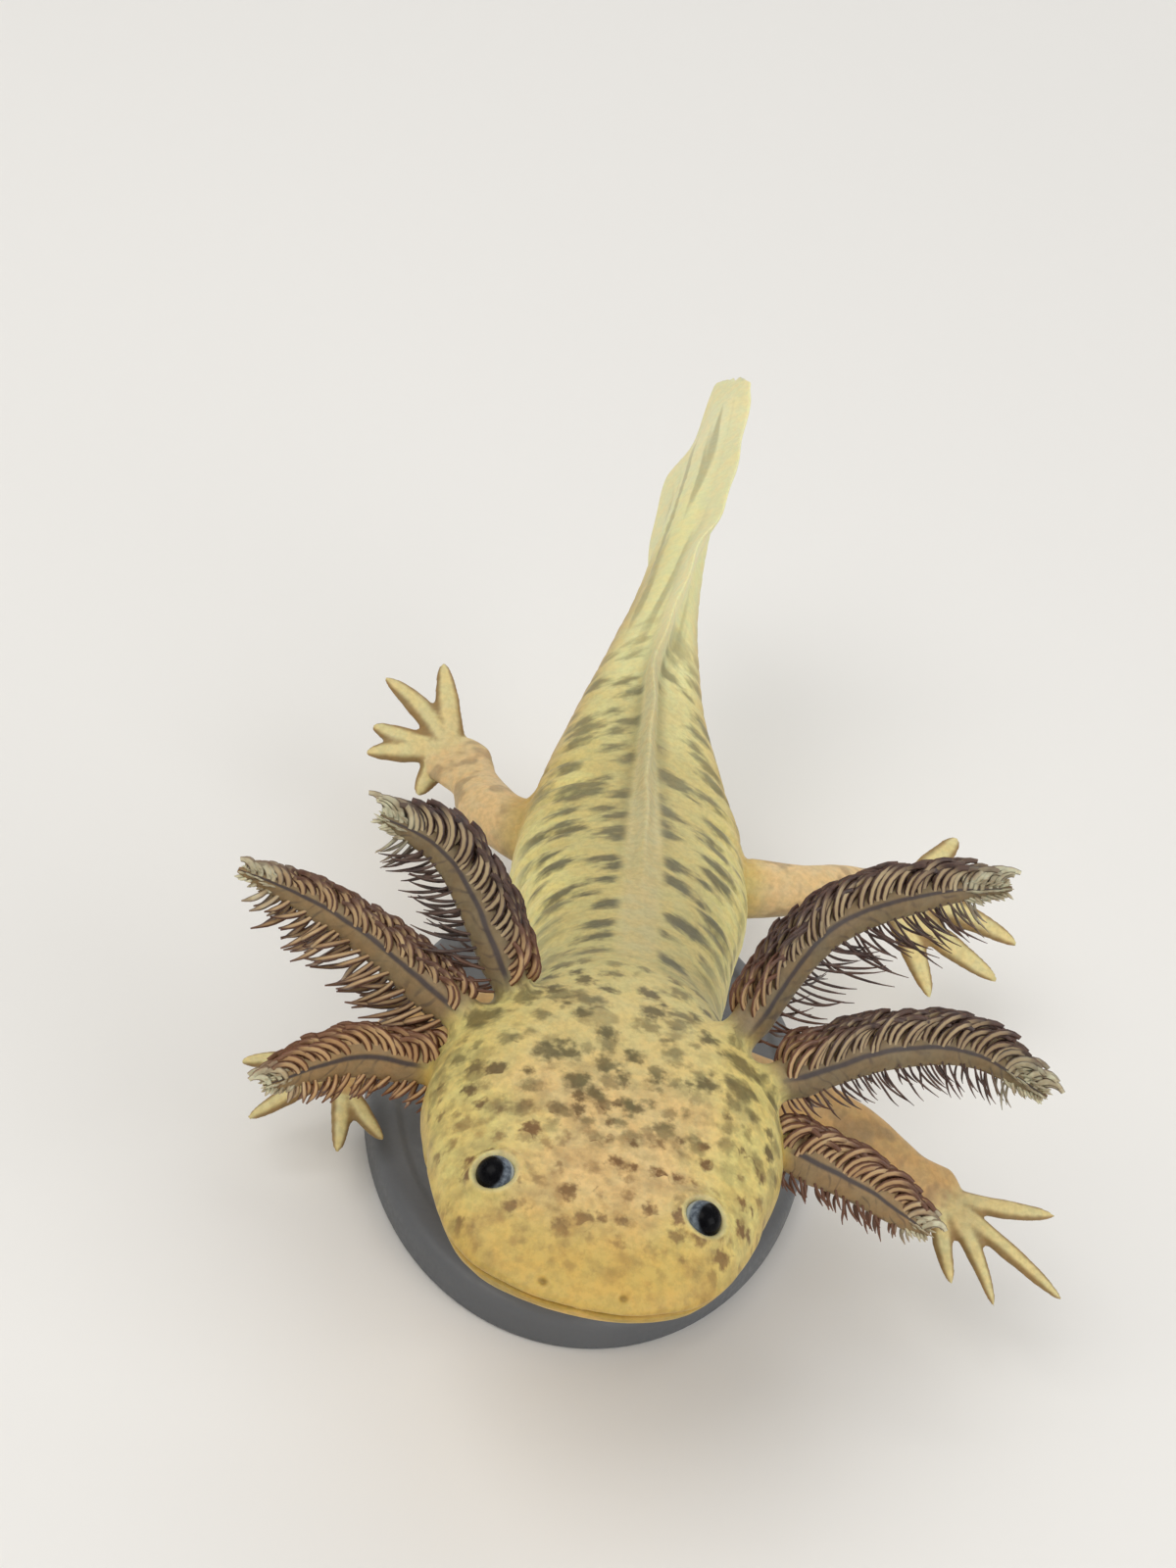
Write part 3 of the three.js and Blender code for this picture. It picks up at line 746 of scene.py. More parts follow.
def makeSkin():
    tubePoints, faces, tubeLie, tubeLift = bodyTube()
    made = meshObject("skin", tubePoints, faces)
    others, limbPoints, limbMarks, stalkPoints, stalkMarks, warmth = [], [], [], [], [], []
    for leg in legs.values():
        parts, marks = limbParts(leg)
        limbPoints += [part[0] for part in parts]
        limbMarks.append(marks)
        others.append(fused("limb", parts, legShape["voxel"], 3))
    for name in gills["paths"]:
        points, stalkFaces, marks = gillStalk(name)
        stalkPoints.append(points)
        stalkMarks.append(marks)
        warmth.append(np.full(len(points), fringeSizes[name]["Warmth"]))
        others.append(meshObject("stalk", points, stalkFaces))
    for other in others:
        union = made.modifiers.new("union", "BOOLEAN")
        union.operation = "UNION"
        union.solver = "MANIFOLD"
        union.object = other
    applyModifiers(made)
    for other in others:
        bpy.data.objects.remove(other)
    refineFace(made)
    print("skin joined:", len(made.data.vertices), "points")

    points = pointsOf(made)
    edges = edgesOf(made)
    tubeIndex, fromTube = nearest(tubePoints, points)
    limbIndex, fromLimb = nearest(np.vstack(limbPoints), points)
    stalkIndex, fromStalk = nearest(np.vstack(stalkPoints), points)
    meeting = np.maximum(fromTube, np.minimum(fromLimb, fromStalk))
    weight = 0.5 * (1 - smoothstep(meeting, 0.3, skin["junction"]))
    points = relax(points, edges, weight, skin["rounds"])
    setPoints(made, points)

    everywhere = np.full(len(points), 0.5)
    lie = tubeLie[tubeIndex]
    lift = tubeLift[tubeIndex]
    limb = smoothstep(fromTube, 0.2, 3.2) * (fromLimb < fromStalk)
    gill = smoothstep(fromTube, 0.1, 1.8) * (fromStalk <= fromLimb)
    fin = smoothstep(lift, 0.25, 1.6) * (1 - limb)
    limbValues = np.vstack(limbMarks)[limbIndex]
    stalkValues = np.vstack(stalkMarks)[stalkIndex]
    onGill = gill > 0.02
    reach = np.where(onGill, stalkValues[:, 0], limbValues[:, 0] / 4 * (limb > 0.02))
    edge = np.where(onGill, stalkValues[:, 1], limbValues[:, 1] * (limb > 0.02))
    region = relax(np.stack([limb, gill, fin], axis=1), edges, everywhere, 4)
    detail = relax(np.stack([reach, edge, lift], axis=1), edges, everywhere, 2)

    low = lie[:, 2]
    onBody = 1 - smoothstep(fromTube, 0.35, 0.9)
    move = (headRelief(points, low) + bodyRelief(lie[:, 0], low, fin)) * onBody
    move += unevenness(points) * (1 - fin)
    normals = arrayOf(made.data.vertex_normals, "vector").astype(float)
    setPoints(made, (points + normals * move[:, None]) * mm)
    finer = np.zeros(len(points))
    for spot, size in faceSpots()[0]:
        apart = np.linalg.norm(toHead(points) - spot, axis=1)
        finer = np.maximum(finer, 1 - smoothstep(apart, size, size + 0.8))
    addAttribute(made, "lie", relax(lie, edges, 0.9 * finer, 12))
    addAttribute(made, "region", region)
    addAttribute(made, "detail", detail)
    addAttribute(made, "face", faceMarks(points, np.concatenate(warmth)[stalkIndex]))
    enter(made, "skin", *[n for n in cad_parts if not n.startswith(("gill", "eye", "stand"))])
    return made


axolotlSkin = makeSkin()
print("skin finished:", sum(len(face.vertices) - 2 for face in axolotlSkin.data.polygons), "triangles")

# Node helpers

work = {"tree": None}  # the node tree that is being built


# A node's output that can be added and multiplied, by Math and Vector Math nodes
class Value:
    def __init__(self, socket):
        self.socket = socket
        self.isVector = socket.type in ("VECTOR", "RGBA")

    def __add__(self, other):
        return combined("ADD", self, other)

    def __sub__(self, other):
        return combined("SUBTRACT", self, other)

    def __rsub__(self, other):
        return combined("SUBTRACT", other, self)

    def __mul__(self, other):
        return combined("MULTIPLY", self, other)

    def __truediv__(self, other):
        return combined("DIVIDE", self, other)


# A sum or product of two numbers, a sum of two vectors, or a vector times a number
def combined(operation, first, second):
    if not (isinstance(first, Value) and first.isVector):
        return maths(operation, first, second)
    if operation == "MULTIPLY":
        return node("ShaderNodeVectorMath", {0: first, "Scale": second}, operation="SCALE")
    return node("ShaderNodeVectorMath", {0: first, 1: second}, operation=operation)


# Links or sets an input; a plain colour gets its fourth value here
def plug(socket, value):
    if isinstance(value, Value):
        work["tree"].links.new(value.socket, socket)
    elif socket.type == "RGBA":
        socket.default_value = (*value, 1)
    else:
        socket.default_value = value


# A new node's outputs by name, with some of its inputs set or linked
def outputsOf(kind, inputs=None, **settings):
    made = work["tree"].nodes.new(kind)
    for key, value in settings.items():
        setattr(made, key, value)
    for key, value in (inputs or {}).items():
        if isinstance(key, str):
            plug(next(s for s in made.inputs if s.name == key and s.enabled), value)
        else:
            plug(made.inputs[key], value)
    return {s.name: Value(s) for s in made.outputs if s.enabled}


# The same for nodes with one output of use, the first if it isn't named
def node(kind, inputs=None, output=None, **settings):
    outputs = outputsOf(kind, inputs, **settings)
    return outputs[output] if output else next(iter(outputs.values()))


def maths(operation, *values):
    return node("ShaderNodeMath", dict(enumerate(values)), operation=operation)


def sine(value):
    return maths("SINE", value)


def cosine(value):
    return maths("COSINE", value)


def allOf(first, *others):
    for other in others:
        first = first * other
    return first


def spread(value, low, high, bottom=0.0, top=1.0):
    inputs = {"Value": value, "From Min": low, "From Max": high, "To Min": bottom, "To Max": top}
    return node("ShaderNodeMapRange", inputs, interpolation_type="SMOOTHSTEP")


# 1 inside a band of values, which can be open at its end, or the value itself where no band is given
def bandMask(value, start=None, full=None, fall=None, end=None):
    if start is None:
        return value
    rise = spread(value, start, full)
    return rise if fall is None else rise * spread(value, end, fall)


def mixed(factor, first, second, blend="MIX"):
    return node("ShaderNodeMix", {0: factor, 6: first, 7: second}, data_type="RGBA", blend_type=blend)


def xyz(x, y, z=0.0):
    return node("ShaderNodeCombineXYZ", {"X": x, "Y": y, "Z": z})


def partsOf(vector):
    return outputsOf("ShaderNodeSeparateXYZ", {"Vector": vector}).values()


def attribute(name, output="Vector"):
    return node("ShaderNodeAttribute", None, output, attribute_name=name)


def noiseAt(place, scale, detail=2.0, roughness=0.5):
    inputs = {"Vector": place, "Scale": scale, "Detail": detail, "Roughness": roughness}
    return node("ShaderNodeTexNoise", inputs)


def flatNoise(place, scale, detail, output=None):
    inputs = {"Vector": place, "Scale": scale, "Detail": detail}
    return node("ShaderNodeTexNoise", inputs, output, noise_dimensions="2D")


def stretched(place, scale):
    return node("ShaderNodeMapping", {"Vector": place, "Scale": scale})


def millimetres():
    return node("ShaderNodeTexCoord", None, "Object") * 1000.0


# A node group with named inputs and outputs, to be filled and closed
def newGroup(name, inputs, outputs, kind="ShaderNodeTree"):
    group = bpy.data.node_groups.new(name, kind)
    for way, sockets in (("INPUT", inputs), ("OUTPUT", outputs)):
        for label, socketKind, *value in sockets:
            socket = group.interface.new_socket(label, in_out=way, socket_type="NodeSocket" + socketKind)
            if value:
                socket.default_value = value[0]
    work["tree"] = group
    return group, outputsOf("NodeGroupInput")


# The group again, with its results linked
def closed(group, **results):
    ends = group.nodes.new("NodeGroupOutput").inputs
    for key, value in results.items():
        plug(ends[key], value)
    return group


def newMaterial(name):
    material = bpy.data.materials.new(name)
    material.use_nodes = True
    work["tree"] = material.node_tree
    return material


# Sets a material's shader, with a fine relief (height, strength, distance in metres) where one is given
def shaded(material, values, relief=None):
    surface = material.node_tree.nodes["Principled BSDF"].inputs
    for key, value in values.items():
        plug(surface[key], value)
    if relief:
        names = ("Height", "Strength", "Distance")
        plug(surface["Normal"], node("ShaderNodeBump", dict(zip(names, relief))))
    return material


# Soft irregular spots on coordinates laid flat: warped cells, each with its own size, some left empty
def makeSpots():
    group, given = newGroup("softSpots", [
        ("Place", "Vector"), ("Length", "Float", 2.5), ("Breadth", "Float", 2.5), ("Size", "Float", 0.4),
        ("Softness", "Float", 0.12), ("Share", "Float", 0.6), ("Warp", "Float", 0.5),
    ], [("Mask", "Float"), ("Shade", "Float")])
    scaled = given["Place"] / xyz(given["Length"], given["Breadth"], 1.0)
    warp = flatNoise(scaled, 1.6, 1.5, "Color") - (0.5, 0.5, 0.5)
    cells = outputsOf("ShaderNodeTexVoronoi", {
        "Vector": scaled + warp * given["Warp"], "Scale": 1.0, "Randomness": 0.8, "Smoothness": 0.55,
    }, voronoi_dimensions="2D", feature="SMOOTH_F1")
    chance, growth, shade = outputsOf("ShaderNodeSeparateColor", {"Color": cells["Color"]}).values()
    kept = spread(chance - given["Share"], 0.1, -0.1)
    size = (flatNoise(scaled, 4.5, 2.0) - 0.5) * 0.45 + given["Size"] * (growth + 0.45)
    shape = spread(cells["Distance"], size + given["Softness"], size - given["Softness"])
    return closed(group, Mask=shape * kept, Shade=shade)


# Fine unevenness of living skin: a height for Bump, a roughness, and a mottle for the colour
def makeSkinGrain():
    group, given = newGroup("skinGrain", [
        ("Place", "Vector"), ("Pore", "Float", 0.5), ("Roughness", "Float", 0.4),
    ], [("Height", "Float"), ("Roughness", "Float"), ("Mottle", "Float")])
    scaled = given["Place"] * maths("DIVIDE", 1.0, given["Pore"])
    pores = node("ShaderNodeTexVoronoi", {"Vector": scaled, "Scale": 1.0})
    broad = noiseAt(scaled, 0.13, 1.0)
    return closed(
        group,
        Height=pores * 0.35 + (noiseAt(scaled, 0.45, 2.0, 0.6) + broad),
        Roughness=(broad - 0.5) * 0.35 + given["Roughness"],
        Mottle=noiseAt(scaled, 0.75, 3.0, 0.65),
    )


spotsGroup = makeSpots()
grainGroup = makeSkinGrain()

# Skin colours

tones = {
    "back": (0.55, 0.46, 0.18),
    "backBand": (0.53, 0.44, 0.20),
    "flank": (0.73, 0.64, 0.245),
    "belly": (0.60, 0.38, 0.09),
    "headTop": (0.68, 0.485, 0.215),
    "headRear": (0.60, 0.48, 0.195),
    "headSide": (0.67, 0.545, 0.19),
    "snout": (0.58, 0.395, 0.105),
    "lip": (0.46, 0.30, 0.06),
    "spot": (0.14, 0.11, 0.042),
    "snoutSpot": (0.195, 0.105, 0.038),
    "bar": (0.125, 0.11, 0.055),
    "tail": (0.80, 0.76, 0.385),
    "tailTip": (0.82, 0.78, 0.47),
    "tailFlank": (0.48, 0.29, 0.085),
    "tailStreak": (0.30, 0.26, 0.14),
    "ridge": (0.57, 0.50, 0.26),
    "crest": (0.80, 0.75, 0.42),
    "limb": (0.67, 0.48, 0.235),
    "arm": (0.56, 0.35, 0.14),
    "limbSpot": (0.25, 0.165, 0.09),
    "toe": (0.67, 0.57, 0.27),
    "toeEdge": (0.26, 0.155, 0.055),
    "gill": (0.155, 0.105, 0.052),
    "gillEdge": (0.235, 0.172, 0.088),
    "gillLine": (0.05, 0.037, 0.037),
    "gillRoot": (0.29, 0.20, 0.095),
    "gillWarm": (0.42, 0.25, 0.10),
    "eyeRim": (0.62, 0.57, 0.32),
}

# Coats of colour, laid one over another: tone, strength, then the bands of values where it shows.
# along is the distance from the snout and fromBack that from the back's middle line, in mm. low goes from
# 0 on the back to 1 on the belly, reach from 0 at a leg's root to 1 at the toes' tips, or along a gill.
coats = {
    "body": [
        ("flank", 1, ("lowWavy", 0.12, 0.42)),
        ("belly", 1, ("lowWavy", 0.5, 0.78)),
        ("backBand", 1, ("fromBack", 2.6, 1.0), ("along", 29, 40), ("upper",)),
    ],
    "head": [
        ("headRear", 1, ("alongWavy", 12, 24)),
        ("headSide", 1, ("lowWavy", 0.12, 0.36)),
        ("snout", 1, ("along", 9.0, 2.0)),
        ("lip", 1, ("low", 0.42, 0.56)),
        ("belly", 1, ("low", 0.62, 0.8)),
        ("snoutSpot", 0.45, ("nostril",)),
    ],
    # pale tail, darker low on the flank, with streaks; pale ridge over the hips, with painted shade in the
    # grooves beside it; bars beside a plain band
    "rear": [
        ("tail", 1, ("tail",)),
        ("tailFlank", 0.8, ("low", 0.24, 0.5, 0.86, 0.98), ("along", 58, 74, 104, 124)),
        ("tailTip", 1, ("along", 118, 140)),
        ("tailStreak", 0.52, ("streaks", 0.52, 0.68), ("along", 92, 106, 145, 148),
         ("low", 0.04, 0.16, 0.7, 0.85)),
        ("crest", 0.75, ("fin",), ("along", 66, 96)),
        # painted shade: the bar tone, weakly, in the grooves along both sides of the pale ridge
        ("bar", 0.3, ("fromBack", 1.6, 2.2, 2.4, 3.6), ("along", 52, 64, 90, 104)),
        ("ridge", 0.75, ("fromBack", 2.3, 1.3), ("along", 52, 64, 90, 104)),
        ("bar", 1, ("bars",), ("fromBack", 1.4, 2.5, 10.5, 14.0), ("along", 31, 36, 90, 108), ("upper",)),
    ],
    "spots": [
        ("spot", 1, ("rear",), ("along", 9, 16, 30, 36), ("upper",), ("clear",)),
        ("spot", 0.85, ("large",), ("along", 16, 21, 30, 35), ("upper",)),
        ("smallSpot", 1, ("small",), ("along", 1.5, 5.5, 17, 24), ("upper",), ("clear",)),
        ("snoutSpot", 0.36, ("freckles",), ("along", 0.3, 2, 14, 22), ("upper",)),
        ("eyeRim", 0.6, ("eyeRim",)),
    ],
    "limb": [
        ("arm", 1, ("behind", 6.0, -6.0)),
        ("toe", 1, ("reachWavy", 0.62, 0.88)),
        ("toeEdge", 0.9, ("edgeWavy", 0.3, 0.82), ("reach", 0.755, 0.8)),
        ("limbSpot", 0.5, ("blotches", 0.5, 0.62), ("reach", 0.86, 0.68)),
    ],
    # a dark line with veins below it, warmer gills lower on the head
    "gill": [
        ("gillEdge", 1, ("gillGrain",)),
        ("gillEdge", 1, ("edge", -0.55, -1.0)),
        ("gillWarm", 0.75, ("warmth",)),
        ("gillLine", 0.5, ("veins", 0.6, 1.0), ("edge", 0.05, -0.15), ("veinGaps", 0.35, 0.65)),
        ("gillLine", 0.92, ("offLine", 0.2, 0.05)),
        ("gillRoot", 0.6, ("reach", 0.16, 0.02)),
    ],
}

spotKinds = {
    # length and breadth of a cell in mm, then size, softness, share of cells kept and warp
    "bars": (2.9, 5.2, 0.325, 0.2, 1.2, 0.4),
    "rear": (2.2, 2.6, 0.28, 0.18, 1.0, 0.5),
    "large": (2.7, 4.2, 0.34, 0.18, 0.42, 0.5),
    "small": (1.6, 1.75, 0.28, 0.18, 0.78, 0.5),
    "freckles": (0.95, 1.05, 0.28, 0.2, 0.5, 0.6),
}


# Mask and shade of one kind of spots
def spotsOn(kind, place):
    names = ("Length", "Breadth", "Size", "Softness", "Share", "Warp")
    inputs = {"Place": place, **dict(zip(names, spotKinds[kind]))}
    return outputsOf("ShaderNodeGroup", inputs, node_tree=spotsGroup).values()


# A colour under its coats, where at holds the values that the bands are read from
def painted(colour, name, at):
    for tone, strength, *bands in coats[name]:
        mask = allOf(*(bandMask(at[key], *edges) for key, *edges in bands))
        mask = mask if strength == 1 else mask * strength
        colour = mixed(mask, colour, at[tone + "Tone"] if tone + "Tone" in at else tones[tone])
    return colour


# All values that the coats ask for
def skinValues(place):
    lie = attribute("lie")
    at = dict(zip(("along", "across", "low"), partsOf(lie)))
    at.update(zip(("limb", "gill", "fin"), partsOf(attribute("region"))))
    at.update(zip(("reach", "edge"), partsOf(attribute("detail"))))
    at.update(zip(("eyeRim", "nostril", "warmth"), partsOf(attribute("face"))))
    along, reach, edge = at["along"], at["reach"], at["edge"]
    wave = noiseAt(place, 0.16) - 0.5
    at["fromBack"] = fromBack = maths("ABSOLUTE", at["across"])
    at["upper"] = spread(at["low"], 0.56, 0.42)
    at["clear"] = spread(at["eyeRim"], 0.35, 0.05)
    at["lowWavy"] = wave * 0.35 + at["low"]
    at["alongWavy"] = wave * 8.0 + along
    at["tail"] = spread(wave * 10.0 + along, 74, 108)
    at["streaks"] = flatNoise(stretched(lie, (0.05, 0.62, 0.0)), 1.0, 1.0)

    # bars slant back from the middle line, are weaker behind and nearly gone over the shoulders
    bars, _ = spotsOn("bars", xyz(fromBack * 0.3 + along, at["across"]))
    shoulder = spread(along, 50, 38) * spread(fromBack, 5.0, 8.0)
    at["bars"] = allOf(bars, 1.0 - shoulder * 0.65, spread(along, 45, 85, 0.95, 0.72))

    # spots vary in strength, fade down the sides of the head and turn redder on the snout
    moved = lie + (31.3, 17.7, 0.0)
    rear, rearShade = spotsOn("rear", lie)
    at["rear"] = allOf(rear, spread(rearShade, 0.0, 0.4, 0.6, 0.98), spread(fromBack, 6.5, 10.0, 1.0, 0.62))
    at["large"], _ = spotsOn("large", moved)
    small, smallShade = spotsOn("small", moved)
    at["small"] = allOf(small, spread(smallShade, 0.0, 0.6, 0.5, 1.0), spread(along, 2, 10, 0.75, 1.0))
    at["smallSpotTone"] = mixed(spread(along, 10, 20), tones["snoutSpot"], tones["spot"])
    freckles, _ = spotsOn("freckles", lie)
    at["freckles"] = freckles * 0.55 + spread(noiseAt(place, 0.5), 0.42, 0.72)

    _, at["behind"], _ = partsOf(place)
    at["reachWavy"] = wave * 0.3 + reach
    at["edgeWavy"] = wave * 0.6 + edge
    at["blotches"] = noiseAt(place, 0.33)
    at["gillGrain"] = noiseAt(place, 0.5)
    at["veins"] = sine(edge * 5.0 + (reach * 95.0 + wave * 45.0))
    at["veinGaps"] = noiseAt(place, 0.7)
    at["offLine"] = maths("ABSOLUTE", wave * 0.5 + edge - 0.05)
    return at


def makeSkinMaterial():
    material = newMaterial("axolotlSkin")
    place = millimetres()
    at = skinValues(place)
    colour = painted(tones["back"], "body", at)
    colour = mixed(spread(at["along"], 33, 22), colour, painted(tones["headTop"], "head", at))
    colour = painted(painted(colour, "rear", at), "spots", at)
    for part in ("limb", "gill"):
        colour = mixed(at[part], colour, painted(tones[part], part, at))

    # fine mottling over everything, calmer on the tail
    inputs = {"Place": place, "Pore": 0.45, "Roughness": 0.5}
    grain = outputsOf("ShaderNodeGroup", inputs, node_tree=grainGroup)
    dark = spread(grain["Mottle"], 0.36, 0.62, 0.91, 1.06)
    dark = (1.0 - dark) * (at["tail"] * 0.6) + dark
    pink = spread(noiseAt(place, 0.55, 3.0, 0.6), 0.38, 0.62, 0.96, 1.03)
    mottle = node("ShaderNodeCombineColor", {0: dark * pink, 1: dark, 2: dark / pink})
    return shaded(material, {
        "Base Color": mixed(1.0, colour, mottle, "MULTIPLY"),
        "Roughness": grain["Roughness"],
        "Specular IOR Level": 0.3,
        "Subsurface Weight": 0.2,
        "Subsurface Radius": (1.0, 0.5, 0.2),
        "Subsurface Scale": 0.0012,
        "Coat Weight": 0.05,
        "Coat Roughness": 0.35,
    }, (grain["Height"], 0.25, 0.0001))


axolotlSkin.data.materials.clear()
axolotlSkin.data.materials.append(makeSkinMaterial())
print("skin coloured")

# Eyes

eyes = {
    "pupil": 53.0,  # how far the dark middle reaches, in degrees from its own middle
    "iris": 82.0,
    "bulge": 0.03,
    "rings": 40,
    "sides": 48,
    "irisTones": ((0.075, 0.092, 0.115), (0.16, 0.19, 0.225)),
    "pupilTone": (0.002, 0.002, 0.003),
    "whiteTone": (0.34, 0.38, 0.38),
}


def makeEyeMaterial():
    material = newMaterial("eyeGlobe")
    angle, _, _ = partsOf(attribute("gaze"))
    fibres = noiseAt(stretched(millimetres(), (3.0, 3.0, 3.0)), 1.0, 3.0)
    iris = mixed(spread(fibres, 0.35, 0.65), *eyes["irisTones"])
    wavy = (fibres - 0.5) * 3.0 + angle
    colour = mixed(spread(wavy, eyes["pupil"] - 3, eyes["pupil"] + 13), eyes["pupilTone"], iris)
    return shaded(material, {
        "Base Color": mixed(spread(wavy, eyes["iris"], eyes["iris"] + 10), colour, eyes["whiteTone"]),
        "Roughness": spread(fibres, 0.3, 0.7, 0.22, 0.38),
        "Specular IOR Level": 0.06,
        "Coat Weight": 0.04,
        "Coat Roughness": 0.1,
    })


def makeEye(name, sign, replaced):
    axis = unit(np.array(skin["eyeAxis"]) * [sign, 1, 1])
    side = unit(np.cross(axis, [0, 0, 1.0]))
    up = np.cross(side, axis)
    turn = fullTurn(eyes["sides"])
    rings, gaze = [], []
    for angle in np.linspace(1.5, 178.5, eyes["rings"]):
        tilt = math.radians(angle)
        radius = skin["eyeRadius"] * (1 + eyes["bulge"] * (math.exp(-(angle / 40) ** 2) - 1))
        flat = math.sin(tilt) * (np.cos(turn)[:, None] * side + np.sin(turn)[:, None] * up)
        rings.append(eyeCentre(sign) + radius * (math.cos(tilt) * axis + flat))
        gaze.append(np.stack([np.full(len(turn), angle), turn, turn * 0], axis=1))
    points, faces = loft(rings)
    made = meshObject(name, fromHead(points) * mm, faces)
    addAttribute(made, "gaze", np.vstack(gaze + [[[0, 0, 0], [180, 0, 0]]]))
    made.data.materials.append(eyeMaterial)
    enter(made, "eyes", replaced)


eyeMaterial = makeEyeMaterial()
makeEye("eyeLeft", 1, "eye_left")
makeEye("eyeRight", -1, "eye_right")
print("eyes made")

# Gill fringes

fringe = {
    # Start, End: share of the gill; Spacing, Length, Width: mm; Rows: filaments at each place; Fan, Aim:
    # degrees that they spread over and point at round the stalk; Gather: how much of the fan they point
    # along; Inner: length in the middle of the fan; Thickness: share of the width; Lean, Bend: radians
    # towards the gill's tip; Blunt: width left at the end; Uneven: random share; Kind: 0, 0.5 or 1
    "comb": {
        "Start": 0.09, "End": 0.97, "Spacing": 0.62, "Rows": 4, "Fan": 82.0, "Aim": 0.0,
        "Length": 5.2, "Inner": 0.5, "Width": 0.32, "Thickness": 0.3, "Lean": 0.0, "Bend": 2.0,
        "Blunt": 0.6, "Uneven": 0.24, "Gather": 0.1, "Kind": 0.0,
    },
    "hairs": {
        "Start": 0.09, "End": 0.9, "Spacing": 0.7, "Rows": 2, "Fan": 26.0, "Aim": 180.0,
        "Length": 4.2, "Inner": 1.0, "Width": 0.12, "Thickness": 0.8, "Lean": 0.3, "Bend": 0.6,
        "Blunt": 0.25, "Uneven": 0.5, "Gather": 0.8, "Kind": 0.5,
    },
    "tips": {
        "Start": 0.86, "End": 0.985, "Spacing": 0.32, "Rows": 7, "Fan": 150.0, "Aim": 0.0,
        "Length": 1.5, "Inner": 1.0, "Width": 0.15, "Thickness": 0.5, "Lean": 0.75, "Bend": 0.4,
        "Blunt": 0.25, "Uneven": 0.6, "Gather": 1.0, "Kind": 1.0,
    },
    "seed": 11,
    "sides": 6,
    "steps": 8,
    "patch": 0.003,  # breadth of a filament's place on the flat map
    "margin": 0.015,
    # pairs of tones that each filament lies between
    "pale": ((0.44, 0.335, 0.19), (0.27, 0.19, 0.11)),
    "paleWarm": ((0.62, 0.36, 0.15), (0.48, 0.25, 0.09)),
    "dark": ((0.04, 0.024, 0.022), (0.09, 0.054, 0.042)),
    "darkWarm": (0.20, 0.075, 0.03),
    "cream": ((0.66, 0.63, 0.44), (0.40, 0.34, 0.22)),
}


def named(name, kind="FLOAT"):
    return node("GeometryNodeInputNamedAttribute", {"Name": name}, data_type=kind)


# Geometry with each value stored as an attribute of that name
def stored(geometry, kind=None, domain="POINT", **values):
    for name, value in values.items():
        dataType = kind or ("FLOAT_VECTOR" if value.isVector else "FLOAT")
        inputs = {"Geometry": geometry, "Name": name, "Value": value}
        geometry = node("GeometryNodeStoreNamedAttribute", inputs, data_type=dataType, domain=domain)
    return geometry


def randomIn(low, high, seed, offset):
    index = node("GeometryNodeInputIndex")
    inputs = {"Min": low, "Max": high, "ID": index, "Seed": seed + float(offset)}
    return node("FunctionNodeRandomValue", inputs, data_type="FLOAT")


